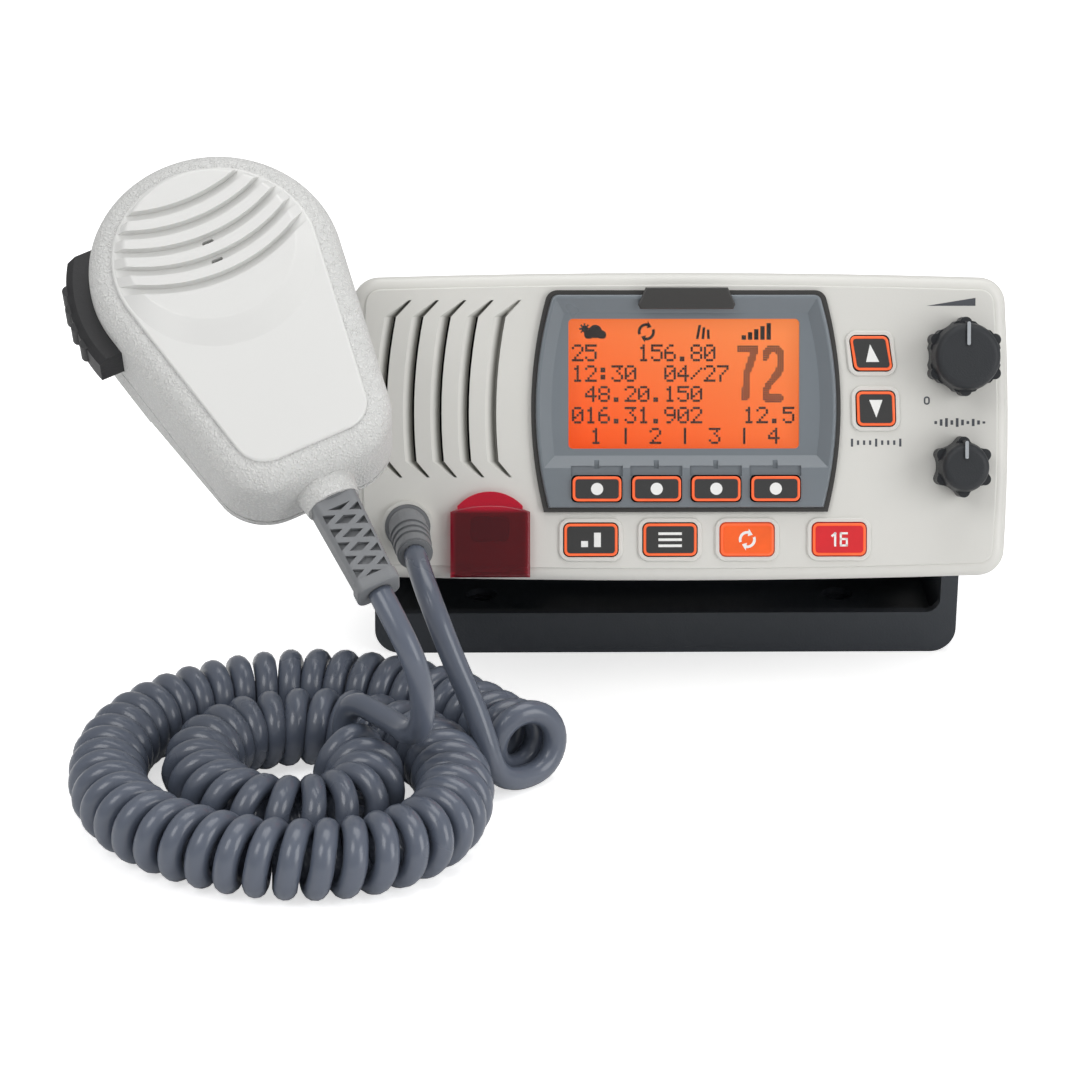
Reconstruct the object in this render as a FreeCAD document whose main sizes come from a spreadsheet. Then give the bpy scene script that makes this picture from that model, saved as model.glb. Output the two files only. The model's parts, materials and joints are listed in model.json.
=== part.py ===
"""Fixed-mount VHF marine radio: gimbal bracket, tilting set, fist microphone and curly cord.

Millimetres.  +X right, +Y to the back, +Z up.  The origin is the middle of the bracket's
underside.  Everything on the set is drawn about the tilt pivot, face towards -Y, and everything
in the microphone about the middle of its front face; each sub-part's Placement then leans it.
"""
import FreeCAD
import Part
import Sketcher
import math
import os
import re
from FreeCAD import Placement, Rotation, Vector

# ---------------------------------------------------------------- driving dimensions
DIMENSIONS = {
    "tilt_angle": 20,               # face-up lean of the set at rest, degrees
    "pivot_height": 60,             # gimbal axis above the mounting surface
    "face_ahead": 60,               # gimbal axis to the front of the face
    "face_width": 174.6,            # front housing, across the bowed sides
    "face_height": 81.4,            # front housing, across the bowed top and bottom
    "face_bow": 1.4,                # bow of each side, top and bottom
    "face_corner": 7,               # corner radius of the face outline
    "face_rounding": 3,             # rounding of the front rim
    "skirt_depth": 27,              # front housing, front to back
    "face_wall": 2.4,               # wall of the front housing
    "face_step": 0.5,               # face plate in front of the rim round it
    "face_inset": 3.2,              # rim round the face plate
    "fit_gap": 0.3,                 # gap round a part that drops into an opening
    "grille_x": -77,                # right wall of the first louvre
    "grille_pitch": 7.2,            # louvre slot to louvre slot
    "grille_count": 5,              # number of louvre slots
    "slit_count": 4,                # louvres that are open to the loudspeaker
    "grille_top": 33.4,             # top end of a louvre
    "grille_bottom": -13.2,         # bottom end of a louvre
    "louvre_width": 3,              # sloping trough of a louvre
    "louvre_slot": 0.5,             # slit at the deep side of a trough
    "louvre_depth": 1.9,            # trough depth
    "louvre_bow": 1.4,              # bow of a louvre
    "louvre_tip": 0.9,              # width of a louvre at its swept ends
    "speaker_radius": 23.5,         # loudspeaker frame
    "speaker_depth": 17,            # loudspeaker, front to back
    "speaker_x": -60.5,             # loudspeaker centre
    "speaker_z": 10.5,              # loudspeaker centre
    "bezel_x": 1.4,                 # display bezel centre
    "bezel_top": 34.8,              # top edge of the bezel
    "bezel_bottom": -21.2,          # bottom edge of the bezel
    "bezel_top_width": 70.3,        # bezel across its top corners
    "bezel_low_width": 72.6,        # bezel across its bottom corners
    "bezel_bow": 3.9,               # bow of the bezel's sides
    "bezel_corner": 2,              # top corners of the bezel
    "bezel_proud": 2.4,             # bezel in front of the face
    "bezel_lap": 1.8,               # bezel over the edge of its opening
    "recess_rim": 1,                # flat rim left round the display recess
    "recess_slope": 3.2,            # sloping wall of the recess, across
    "recess_depth": 2.2,            # display recess
    "trim_width": 1.1,              # dark trim round the bezel
    "trim_proud": 1.2,              # trim in front of the face
    "badge_width": 25.6,            # plain tab over the bezel's top edge
    "badge_height": 5.7,            # plain tab
    "badge_proud": 1.3,             # plain tab in front of the bezel
    "badge_lift": 0.8,              # plain tab above the trim
    "glass_x": 0.9,                 # display window centre
    "glass_z": 11.4,                # display window centre
    "glass_width": 61,              # display opening
    "glass_height": 34.2,           # display opening
    "glass_thick": 1.2,             # display window
    "glass_lap": 1.4,               # window held behind the opening by this much
    "display_depth": 4,             # display module
    "soft_key_x": -22.2,            # first soft key
    "soft_key_pitch": 15.7,         # soft key to soft key
    "soft_key_z": -16.2,            # soft key row
    "soft_key_width": 12.8,         # soft key
    "soft_key_height": 6.5,         # soft key
    "low_key_z": -29.7,             # lower key row
    "low_key_width": 14,            # lower key
    "low_key_height": 8.5,          # lower key
    "power_key_x": -23.7,           # output power key
    "menu_key_x": -2.8,             # menu key
    "replay_key_x": 17.6,           # replay key
    "hail_key_x": 42,               # channel 16 key
    "channel_up_x": 50.3,           # channel up key
    "channel_up_z": 19.4,           # channel up key
    "channel_down_x": 51.6,         # channel down key
    "channel_down_z": 4.8,          # channel down key
    "channel_key_width": 10,        # channel key
    "channel_key_height": 9,        # channel key
    "channel_up_lean": -1.4,        # lean of the upper key, top to the left
    "channel_down_lean": -0.3,      # lean of the lower key
    "key_corner": 1.4,              # corner radius of a key
    "key_gap": 0.35,                # gap round a key
    "key_proud": 1.3,               # key in front of the face
    "key_travel": 0.8,              # key stroke
    "key_rim": 0.7,                 # lit rim round a key cap
    "key_rim_step": 0.35,           # cap in front of its rim
    "key_flange": 1,                # flange that holds a key behind the wall
    "surround_width": 1.5,          # raised land round a key
    "surround_proud": 0.7,          # raised land in front of the face
    "mat_thick": 1.6,               # keypad mat
    "board_thick": 1.6,             # printed board
    "volume_x": 74.4,               # volume knob
    "volume_z": 18.5,               # volume knob
    "volume_radius": 10.4,          # volume knob at its skirt
    "squelch_x": 74,                # squelch knob
    "squelch_z": -10.5,             # squelch knob
    "squelch_radius": 8,            # squelch knob at its skirt
    "knob_height": 13,              # knob in front of the face
    "knob_gap": 0.6,                # knob to the face
    "shaft_radius": 3,              # knob shaft
    "running_gap": 0.05,            # radial clearance of a shaft in its hole
    "pot_size": 16,                 # rotary control body, square
    "pot_depth": 8,                 # rotary control body
    "cover_x": -50.3,               # distress cover centre
    "cover_width": 21,              # distress cover
    "cover_top": -22.2,             # shoulders of the distress cover
    "cover_crown": 1.2,             # bow of its top edge
    "cover_lip": -16.9,             # top of its thumb lip
    "lip_thick": 1.4,               # thumb lip
    "lip_inset": 1.9,               # thumb lip from the sides of the cover
    "cover_bottom": -39.5,          # bottom of the distress cover
    "cover_proud": 3.6,             # distress cover in front of the face
    "cover_wall": 1.2,              # distress cover
    "cover_gap": 0.3,               # distress cover to the face
    "cover_pin_z": -38.7,           # hinge pin of the cover
    "cover_pin_ahead": 1.6,         # hinge pin in front of the face
    "cover_pin_radius": 0.5,        # hinge pin
    "lug_radius": 1.1,              # hinge lugs on the face
    "lug_width": 3,                 # hinge lugs
    "lug_spread": 13.2,             # lug to lug
    "distress_key_z": -26.8,        # distress key
    "distress_key_width": 9.6,      # distress key
    "distress_key_height": 6.1,     # distress key
    "gland_x": -72,                 # microphone lead's exit from the face
    "gland_z": -26.2,               # microphone lead's exit from the face
    "gland_radius": 6.9,            # raised ring on the face
    "gland_proud": 1.6,             # raised ring
    "gland_hole": 6,                # opening for the strain relief
    "lead_radius": 3.1,             # cord
    "case_width": 149,              # rear case
    "case_height": 54,              # rear case
    "case_back": 50,                # pivot to the back of the rear case
    "case_corner": 5,               # rear case
    "case_wall": 2.5,               # rear case
    "flange_thick": 3,              # front flange of the rear case
    "flange_gap": 0.4,              # rear case flange inside the skirt
    "gasket_thick": 1,              # seals
    "screw_x": 80.4,                # case screws
    "screw_z": 32.8,                # case screws
    "screw_radius": 1.5,            # case screws
    "screw_head": 2.9,              # case screw heads
    "boss_radius": 3.4,             # screw bosses
    "fin_count": 11,                # cooling fins on the back
    "fin_pitch": 6,                 # cooling fins
    "fin_groove": 3,                # gap between fins
    "fin_depth": 8,                 # gap between fins
    "bracket_width": 162.6,         # bracket, outside the arms
    "bracket_depth": 44,            # bracket, front to back
    "bracket_wall": 4.8,            # bracket arms
    "bracket_floor": 5,             # bracket base plate
    "bracket_lip": 12,              # turned-up edge of the base plate
    "bracket_lip_wall": 3,          # turned-up edge of the base plate
    "lip_corner": 4,                # fillet from a turned-up edge to the arm
    "bracket_corner": 7,            # bottom outer corner
    "arm_radius": 15,               # rounded head of an arm
    "hole_spacing_x": 102,          # bracket screw holes
    "hole_spacing_y": 15,           # bracket screw holes
    "hole_radius": 2.5,             # bracket screw holes
    "sink_radius": 4.4,             # countersinks
    "stud_radius": 3,               # clamp knob studs
    "gimbal_radius": 12,            # clamp knobs
    "gimbal_length": 10.5,          # clamp knobs
    "hanger_thick": 3,              # hanger eye and plate
    "hanger_rod": 2.6,              # hanger rod radius
    "mic_x": -111,                  # middle of the microphone's face
    "mic_y": -100,                  # middle of the microphone's face
    "mic_z": 125,                   # middle of the microphone's face
    "mic_lean": 47.4,               # microphone's lean to the back, degrees
    "mic_roll": 25.7,               # microphone's roll, top to the left, degrees
    "dome_radius": 32,              # round top of the microphone
    "dome_z": 20,                   # centre of the round top
    "tail_radius": 14,              # bottom corners of the microphone
    "tail_x": 9.5,                  # centre of a bottom corner
    "tail_z": -29.5,                # centre of a bottom corner
    "mic_front_depth": 21,          # front shell
    "mic_back_depth": 10.8,         # rear shell
    "mic_seam": 0.6,                # seal between the shells
    "mic_wall": 2.6,                # microphone shells
    "mic_rounding": 6,              # front rim of the microphone
    "mic_back_rounding": 3,         # back rim of the microphone
    "slope_start": 5,               # where the back starts to slope to the tail
    "slope_drop": 7.5,              # how much thinner the tail is
    "mic_screw_z": -30,             # lower screw in the back of the microphone
    "panel_inset": 6,               # raised panel from the outline
    "panel_proud": 1,               # raised panel
    "mic_louvre_z": 34.3,           # first louvre on the microphone, at its middle
    "mic_louvre_pitch": 5.7,        # louvre to louvre
    "mic_louvre_half": 26,          # half the width of a louvre groove
    "mic_louvre_bow": 8.8,          # rise of a louvre's ends
    "mic_louvre_width": 2.8,        # louvre groove
    "mic_dome_rise": 2.3,           # low dome that carries the louvres, above the panel
    "mic_dome_foot": 25.2,          # radius of the dome at its foot
    "mic_dome_crown": 21.5,         # radius of its flat top
    "mic_dome_shift": 3,            # flat top above the middle of the foot
    "sound_width": 3,               # sound openings in two of the louvres
    "sound_height": 1.3,            # sound openings
    "talk_low": 10,                 # lower end of the talk button
    "talk_high": 40,                # upper end of the talk button
    "talk_depth": 10,               # talk button, front to back
    "talk_middle": 13,              # talk button centre behind the front face
    "talk_inner": 24,               # inner end of the talk button
    "talk_proud": 6,                # talk button outside the shell
    "talk_travel": 1.8,             # talk button stroke
    "relief_length": 26,            # microphone strain relief
    "relief_depth": 13.5,           # its axis behind the front face
    "relief_top": 5.8,              # relief radius in the shell
    "relief_tip": 4.5,              # radio relief radius at the cord
    "relief_width": 11.8,           # latticed relief, side to side at the shell
    "relief_thick": 10.8,           # latticed relief, front to back at the shell
    "relief_draft": 1.9,            # its taper, degrees
    "relief_collar": 3,             # plain collar at each end of the lattice
    "lattice_cells": 5,             # crosses of the lattice
    "lattice_half": 4.5,            # half the lattice's width at its middle
    "lattice_bar": 1.4,             # lattice bar
    "lattice_depth": 1.9,           # lattice openings
    "mic_boss_radius": 6.9,         # boss round the relief, at its end
    "mic_boss_length": 5,           # boss round the relief
    "mic_boss_draft": 10,           # flare of the boss to the shell, degrees
    "stud_z": 12,                   # hanging stud above the middle of the back
    "stud_shank": 3.5,              # hanging stud
    "stud_head": 7,                 # hanging stud
    "curl_radius": 10.25,           # outside radius of the curly cord
}

doc = FreeCAD.newDocument("vhf_marine_radio")
dim = doc.addObject("Spreadsheet::Sheet", "dim")
for row, (alias, value) in enumerate(DIMENSIONS.items(), start=1):
    dim.set(f"A{row}", str(value))
    dim.setAlias(f"A{row}", alias)
doc.recompute()


def bound(text):
    """An expression over the sheet: every word with an underscore is an alias."""
    return re.sub(r"\b([a-z]+(?:_[a-z]+)+)\b", r"dim.\1", str(text))


def size(text):
    """The value of such an expression now."""
    return float(dim.evalExpression(bound(text)))


# ---------------------------------------------------------------- placements
SET_PLACE = Placement(Vector(0, 0, size("pivot_height")),
                      Rotation(Vector(1, 0, 0), -size("tilt_angle")))
MIC_PLACE = Placement(Vector(size("mic_x"), size("mic_y"), size("mic_z")),
                      Rotation(Vector(1, 0, 0), -size("mic_lean"))
                      * Rotation(Vector(0, 1, 0), -size("mic_roll")))
WORLD = Placement()
SUBPARTS = []


def at(place, x="0", y="0", z="0"):
    """A placement moved within the frame that it leans."""
    return place * Placement(Vector(size(x), size(y), size(z)), Rotation())


# ---------------------------------------------------------------- bodies and sketches
def new_body(name, place):
    body = doc.addObject("PartDesign::Body", name)
    body.Label = name
    body.Placement = place
    SUBPARTS.append(body)
    return body


def new_sketch(body, role="XZ_Plane", offset="0"):
    """A sketch on one of the body's own planes.  On XZ a positive offset lies in front."""
    sketch = body.newObject("Sketcher::SketchObject", body.Name + "_sketch")
    plane = next(item for item in body.Origin.OriginFeatures if item.Role == role)
    sketch.AttachmentSupport = [(plane, "")]
    sketch.MapMode = "FlatFace"
    sketch.setExpression("AttachmentOffset.Base.z", bound(offset))
    return sketch


def pin_point(sketch, index, end, x, y):
    """Holds one point of a sketch at two sheet expressions."""
    for axis, text in (("X", x), ("Y", y)):
        if abs(size(text)) < 1e-9:
            line = -2 if axis == "X" else -1
            sketch.addConstraint(Sketcher.Constraint("PointOnObject", index, end, line))
            continue
        made = sketch.addConstraint(
            Sketcher.Constraint("Distance" + axis, -1, 1, index, end, size(text)))
        sketch.setExpression(f"Constraints[{made}]", bound(text))


def outline(sketch, corners):
    """A closed outline.  Each corner is (x, y) or (x, y, bow) or (x, y, bow, radius): the side to
    the next corner bulges outwards by bow, to the right of the way it runs."""
    count = len(corners)
    ends = []
    for number, corner in enumerate(corners):
        following = corners[(number + 1) % count]
        start = Vector(size(corner[0]), size(corner[1]), 0)
        stop = Vector(size(following[0]), size(following[1]), 0)
        if len(corner) == 2:
            index = sketch.addGeometry(Part.LineSegment(start, stop))
            ends.append((index, 1, 2))
            continue
        chord = stop - start
        bow = size(corner[2])
        normal = Vector(chord.y, -chord.x, 0) / chord.Length
        middle = (start + stop) / 2 + normal * bow
        index = sketch.addGeometry(Part.Arc(start, middle, stop))
        forward = (sketch.getPoint(index, 1) - start).Length < 1e-6
        ends.append((index, 1, 2) if forward else (index, 2, 1))
        if len(corner) == 4:
            radius = corner[3]
        else:
            radius = (f"abs(((({following[0]})-({corner[0]}))^2"
                      f"+(({following[1]})-({corner[1]}))^2)/8/({corner[2]})+({corner[2]})/2)")
        made = sketch.addConstraint(Sketcher.Constraint("Radius", index, size(radius)))
        sketch.setExpression(f"Constraints[{made}]", bound(radius))
    for number, (index, first, last) in enumerate(ends):
        after = ends[(number + 1) % count]
        sketch.addConstraint(Sketcher.Constraint("Coincident", index, last, after[0], after[1]))
        pin_point(sketch, index, first, corners[number][0], corners[number][1])


QUARTER_BOW = 1 - math.sqrt(0.5)


def rounded(sketch, x, y, width, height, radius, lean="0"):
    """A rectangle with round corners, centred at x, y, whose top is lean further right."""
    left, right = f"({x})-({width})/2", f"({x})+({width})/2"
    low, high = f"({y})-({height})/2", f"({y})+({height})/2"
    bow = f"({radius})*{QUARTER_BOW}"
    corners = [
        (f"{left}+({radius})", low),
        (f"{right}-({radius})", low, bow, radius),
        (right, f"{low}+({radius})"),
        (right, f"{high}-({radius})", bow, radius),
        (f"{right}-({radius})", high),
        (f"{left}+({radius})", high, bow, radius),
        (left, f"{high}-({radius})"),
        (left, f"{low}+({radius})", bow, radius)]
    if size(lean):
        corners = [(f"{corner[0]}+({lean})*({corner[1]}-({y}))/({height})", *corner[1:])
                   for corner in corners]
    outline(sketch, corners)


def rectangle(sketch, x, y, width, height):
    left, right = f"({x})-({width})/2", f"({x})+({width})/2"
    low, high = f"({y})-({height})/2", f"({y})+({height})/2"
    outline(sketch, [(left, low), (right, low), (right, high), (left, high)])


def circle(sketch, x, y, radius):
    centre = Vector(size(x), size(y), 0)
    index = sketch.addGeometry(Part.Circle(centre, Vector(0, 0, 1), size(radius)))
    made = sketch.addConstraint(Sketcher.Constraint("Radius", index, size(radius)))
    sketch.setExpression(f"Constraints[{made}]", bound(radius))
    if abs(size(x)) < 1e-9 and abs(size(y)) < 1e-9:
        sketch.addConstraint(Sketcher.Constraint("Coincident", index, 3, -1, 1))
    else:
        pin_point(sketch, index, 3, x, y)


def extrude(body, sketch, length, kind="Pad", reverse=False, taper="0"):
    """A Pad goes to the front of its sketch on XZ and a Pocket to the back, unless reversed."""
    feature = body.newObject("PartDesign::" + kind, f"{body.Name}_{kind.lower()}")
    feature.Profile = sketch
    feature.Reversed = reverse
    feature.Length = size(length)
    feature.setExpression("Length", bound(length))
    if size(taper):
        feature.setExpression("TaperAngle", bound(taper))
    return feature


def spin(body, sketch, kind="Revolution", axis="V_Axis"):
    feature = body.newObject("PartDesign::" + kind, f"{body.Name}_{kind.lower()}")
    feature.Profile = sketch
    feature.ReferenceAxis = (sketch, [axis])
    feature.Angle = 360
    return feature


def row_of(body, originals, sketch, direction, pitch, count):
    """Repeats features along a sketch axis."""
    pattern = body.newObject("PartDesign::LinearPattern", body.Name + "_row")
    pattern.Originals = originals
    pattern.Direction = (sketch, [direction])
    pattern.setExpression("Length", bound(f"({pitch})*(({count})-1)"))
    pattern.setExpression("Occurrences", bound(count))
    body.Tip = pattern
    return pattern


def dress(body, kind, radius, chosen):
    """Rounds or chamfers the edges of the body's tip that the test chooses."""
    doc.recompute()
    base = body.Tip
    names = [f"Edge{number}" for number, edge in enumerate(base.Shape.Edges, start=1)
             if chosen(edge)]
    feature = body.newObject("PartDesign::" + kind, f"{body.Name}_{kind.lower()}")
    feature.Base = (base, names)
    feature.setExpression("Radius" if kind == "Fillet" else "Size", bound(radius))
    return feature


def lies_at(axis, value, inside=None):
    """Chooses edges that lie in one plane across an axis, and fully beyond a limit if given."""
    def test(edge):
        box = edge.BoundBox
        low, high = {"x": (box.XMin, box.XMax), "y": (box.YMin, box.YMax),
                     "z": (box.ZMin, box.ZMax)}[axis]
        flat = abs(low - value) < 1e-4 and abs(high - value) < 1e-4
        return flat and (inside is None or inside(edge))
    return test


def turned(name, place, profile):
    """A solid turned about its own Y axis from (radius, y) corners."""
    body = new_body(name, place)
    sketch = new_sketch(body, "XY_Plane")
    outline(sketch, profile)
    spin(body, sketch)
    return body


def block(name, place, x, z, width, height, front, depth, corner="0"):
    """A plate or block across X and Z whose front lies front ahead of the frame's origin."""
    body = new_body(name, place)
    sketch = new_sketch(body, "XZ_Plane", front)
    if size(corner):
        rounded(sketch, x, z, width, height, corner)
    else:
        rectangle(sketch, x, z, width, height)
    extrude(body, sketch, depth, "Pad", reverse=True)
    return body


# ---------------------------------------------------------------- where the keys are
def low_key(x):
    return (x, "low_key_z", "low_key_width", "low_key_height", "0", "0")


KEYS = {
    "power_key": low_key("power_key_x"),
    "menu_key": low_key("menu_key_x"),
    "replay_key": low_key("replay_key_x"),
    "hail_key": low_key("hail_key_x"),
    "channel_up_key": ("channel_up_x", "channel_up_z", "channel_key_width",
                       "channel_key_height", "0", "channel_up_lean"),
    "channel_down_key": ("channel_down_x", "channel_down_z", "channel_key_width",
                         "channel_key_height", "0", "channel_down_lean"),
}
SOFT_KEYS = {}
for place_number in range(4):
    SOFT_KEYS[f"soft_key_{place_number + 1}"] = (
        f"soft_key_x+{place_number}*soft_key_pitch", "soft_key_z", "soft_key_width",
        "soft_key_height", "bezel_proud", "0")
DISTRESS = ("cover_x", "distress_key_z", "distress_key_width", "distress_key_height", "0", "0")


# ---------------------------------------------------------------- front housing
def bowed_face(sketch, inset):
    """The face outline drawn inset by a wall: four bowed sides with round corners between."""
    wide, high = size(f"face_width/2-({inset})"), size(f"face_height/2-({inset})")
    bow, corner = size("face_bow"), size(f"face_corner-({inset})")
    side_radius = ((high - bow) ** 2 + bow ** 2) / 2 / bow
    top_radius = ((wide - bow) ** 2 + bow ** 2) / 2 / bow
    x, z = wide - corner, high - corner
    for _ in range(30):
        x = wide - side_radius + math.sqrt((side_radius - corner) ** 2 - z ** 2)
        z = high - top_radius + math.sqrt((top_radius - corner) ** 2 - x ** 2)
    to_side = side_radius / math.hypot(x - wide + side_radius, z)
    to_top = top_radius / math.hypot(x, z - high + top_radius)
    side = (wide - side_radius + (x - wide + side_radius) * to_side, z * to_side)
    top = (x * to_top, high - top_radius + (z - high + top_radius) * to_top)
    side_bow, top_bow = wide - side[0], high - top[1]
    chord = math.hypot(top[0] - side[0], top[1] - side[1]) / 2
    corner_bow = corner - math.sqrt(corner ** 2 - chord ** 2)
    turn = (corner_bow, corner)
    points = [(-top[0], -top[1], top_bow, top_radius), (top[0], -top[1], *turn),
              (side[0], -side[1], side_bow, side_radius), (side[0], side[1], *turn),
              (top[0], top[1], top_bow, top_radius), (-top[0], top[1], *turn),
              (-side[0], side[1], side_bow, side_radius), (-side[0], -side[1], *turn)]
    outline(sketch, [tuple(f"{number:.6f}" for number in point) for point in points])


ELBOW_HIGH, ELBOW_LOW = "grille_top-4.4", "grille_bottom+4.2"


def louvre(sketch, width, tip):
    """A louvre against its right wall: a bowed upright with both ends swept to the right."""
    left = f"grille_x-({width})"
    outline(sketch, [
        (f"grille_x+6.2-({tip})", "grille_top"), (f"{left}+2.1", ELBOW_HIGH, "louvre_bow"),
        (f"{left}+0.2", ELBOW_LOW), (f"grille_x+3.7-({tip})", "grille_bottom"),
        ("grille_x+3.7", "grille_bottom"), ("grille_x+0.2", ELBOW_LOW, "-louvre_bow"),
        ("grille_x+2.1", ELBOW_HIGH), ("grille_x+6.2", "grille_top")])


def bezel_outline(sketch, grow):
    """The bezel outline: bowed sides, straight top and bottom, a little wider below."""
    upper, lower = f"bezel_top_width/2+({grow})", f"bezel_low_width/2+({grow})"
    high, low = f"bezel_top+({grow})", f"bezel_bottom-({grow})"
    outline(sketch, [(f"bezel_x-({lower})", low), (f"bezel_x+({lower})", low, "bezel_bow"),
                     (f"bezel_x+({upper})", high), (f"bezel_x-({upper})", high, "bezel_bow")])


def recess_outline(sketch, inset, high, low):
    """An outline between two levels that follows the bowed sides of the bezel, inset from them."""
    rise, bow = size("bezel_top-bezel_bottom"), size("bezel_bow")
    spread = size("bezel_low_width-bezel_top_width") / 2
    chord = math.hypot(rise, spread)
    radius = (chord ** 2 / 4 + bow ** 2) / 2 / bow
    centre_x = size("bezel_top_width+bezel_low_width") / 4 + rise / chord * (bow - radius)
    centre_z = size("bezel_top+bezel_bottom") / 2 + spread / chord * (bow - radius)
    inner = radius - size(inset)
    upper, lower = [centre_x + math.sqrt(inner ** 2 - (size(level) - centre_z) ** 2)
                    for level in (high, low)]
    side = math.hypot(upper - lower, size(high) - size(low))
    side_bow = f"{inner - math.sqrt(inner ** 2 - side ** 2 / 4):.6f}"
    outline(sketch, [(f"bezel_x-{lower:.6f}", low), (f"bezel_x+{lower:.6f}", low, side_bow),
                     (f"bezel_x+{upper:.6f}", high), (f"bezel_x-{upper:.6f}", high, side_bow)])


def corner_edges(level):
    """Chooses the front-to-back edges that end at one level."""
    def test(edge):
        box = edge.BoundBox
        return box.XLength < 1e-3 and box.ZLength < 1e-3 and abs(box.ZMax - level) < 1e-3
    return test


def sink(body, kind, first, last):
    """A ruled loft between two sketches."""
    feature = body.newObject("PartDesign::" + kind, f"{body.Name}_{kind.lower()}")
    feature.Profile = first
    feature.Sections = [last]
    feature.Ruled = True
    return feature


def screw_places():
    return [(f"{sx}screw_x", f"{sz}screw_z") for sx in ("", "-") for sz in ("", "-")]


def make_front_housing():
    body = new_body("front_housing", SET_PLACE)
    front = -size("face_ahead")
    sketch = new_sketch(body, "XZ_Plane", "face_ahead-face_step")
    bowed_face(sketch, "0")
    extrude(body, sketch, "skirt_depth-face_step", "Pad", reverse=True)
    dress(body, "Fillet", "face_rounding", lies_at("y", front + size("face_step")))
    plate = new_sketch(body, "XZ_Plane", "face_ahead")
    bowed_face(plate, "face_inset")
    extrude(body, plate, "face_step", "Pad", reverse=True)
    dress(body, "Fillet", "face_step*0.8", lies_at("y", front))
    # hollow from the back
    hollow = new_sketch(body, "XZ_Plane", "face_ahead-skirt_depth")
    bowed_face(hollow, "face_wall")
    extrude(body, hollow, "skirt_depth-face_wall", "Pocket", reverse=True)
    # screw bosses behind the face
    bosses = new_sketch(body, "XZ_Plane", "face_ahead-skirt_depth+flange_thick+gasket_thick")
    for x, z in screw_places():
        circle(bosses, x, z, "boss_radius")
    extrude(body, bosses, "skirt_depth-flange_thick-gasket_thick-face_wall/2")
    # raised lands and gland ring on the face
    lands = new_sketch(body, "XZ_Plane", "face_ahead")
    for x, z, width, height, _, lean in KEYS.values():
        rounded(lands, x, z, f"{width}+2*surround_width", f"{height}+2*surround_width",
                "key_corner+surround_width", lean)
    extrude(body, lands, "surround_proud")
    ring = new_sketch(body, "XZ_Plane", "face_ahead")
    circle(ring, "gland_x", "gland_z", "gland_radius")
    extrude(body, ring, "gland_proud")
    doc.recompute()
    dress(body, "Fillet", "surround_proud*0.6",
          lies_at("y", front - size("surround_proud")))
    # openings
    cuts = new_sketch(body, "XZ_Plane", "face_ahead+surround_proud")
    for x, z, width, height, _, lean in list(KEYS.values()) + [DISTRESS]:
        rounded(cuts, x, z, f"{width}+2*key_gap", f"{height}+2*key_gap", "key_corner+key_gap", lean)
    for x, z in (("volume_x", "volume_z"), ("squelch_x", "squelch_z")):
        circle(cuts, x, z, "shaft_radius+running_gap")
    bezel_outline(cuts, "-bezel_lap")
    extrude(body, cuts, "surround_proud+face_wall+1", "Pocket")
    gland = new_sketch(body, "XZ_Plane", "face_ahead+gland_proud")
    circle(gland, "gland_x", "gland_z", "gland_hole")
    extrude(body, gland, "gland_proud+face_wall+1", "Pocket")
    drill = new_sketch(body, "XZ_Plane", "face_ahead-skirt_depth+flange_thick+gasket_thick")
    for x, z in screw_places():
        circle(drill, x, z, "screw_radius")
    extrude(body, drill, "10", "Pocket", reverse=True)
    # passages for the keys under the display
    row = new_sketch(body, "XZ_Plane", "face_ahead+surround_proud")
    for x, z, width, height, _, _ in SOFT_KEYS.values():
        rectangle(row, x, z, f"{width}+2*(key_gap+fit_gap)", f"{height}+2*(key_gap+fit_gap)")
    extrude(body, row, "surround_proud+face_wall+1", "Pocket")
    # two lugs that carry the pin of the distress cover
    for side in ("-", "+"):
        lug = new_sketch(body, "YZ_Plane", f"cover_x{side}lug_spread/2-lug_width/2")
        outline(lug, [
            ("-face_ahead+face_wall", "cover_pin_z+lug_radius"),
            ("-face_ahead-cover_pin_ahead", "cover_pin_z+lug_radius", "0.8*lug_radius"),
            ("-face_ahead-cover_pin_ahead", "cover_pin_z-lug_radius"),
            ("-face_ahead+face_wall", "cover_pin_z-lug_radius")])
        extrude(body, lug, "lug_width")
    pin = new_sketch(body, "YZ_Plane", "cover_x-cover_width/2")
    circle(pin, "-face_ahead-cover_pin_ahead", "cover_pin_z", "cover_pin_radius")
    extrude(body, pin, "cover_width", "Pocket", reverse=True)
    # speaker louvres: troughs that slope down to a slit along the right wall
    mouth = new_sketch(body, "XZ_Plane", "face_ahead")
    louvre(mouth, "louvre_width", "louvre_tip")
    floor = new_sketch(body, "XZ_Plane", "face_ahead-louvre_depth")
    louvre(floor, "louvre_slot", "louvre_slot*0.8")
    trough = sink(body, "SubtractiveLoft", mouth, floor)
    row_of(body, [trough], mouth, "H_Axis", "grille_pitch", "grille_count")
    slit = new_sketch(body, "XZ_Plane", "face_ahead-louvre_depth/2")
    outline(slit, [
        ("grille_x-louvre_slot+2.1", ELBOW_HIGH, "louvre_bow"), ("grille_x-louvre_slot+0.2", ELBOW_LOW),
        ("grille_x+0.2", ELBOW_LOW, "-louvre_bow"), ("grille_x+2.1", ELBOW_HIGH)])
    slit_cut = extrude(body, slit, "face_wall+1", "Pocket")
    row_of(body, [slit_cut], slit, "H_Axis", "grille_pitch", "slit_count")


make_front_housing()


# ---------------------------------------------------------------- display
BADGE_LOW = "bezel_top+trim_width+badge_lift-badge_height"


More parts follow.
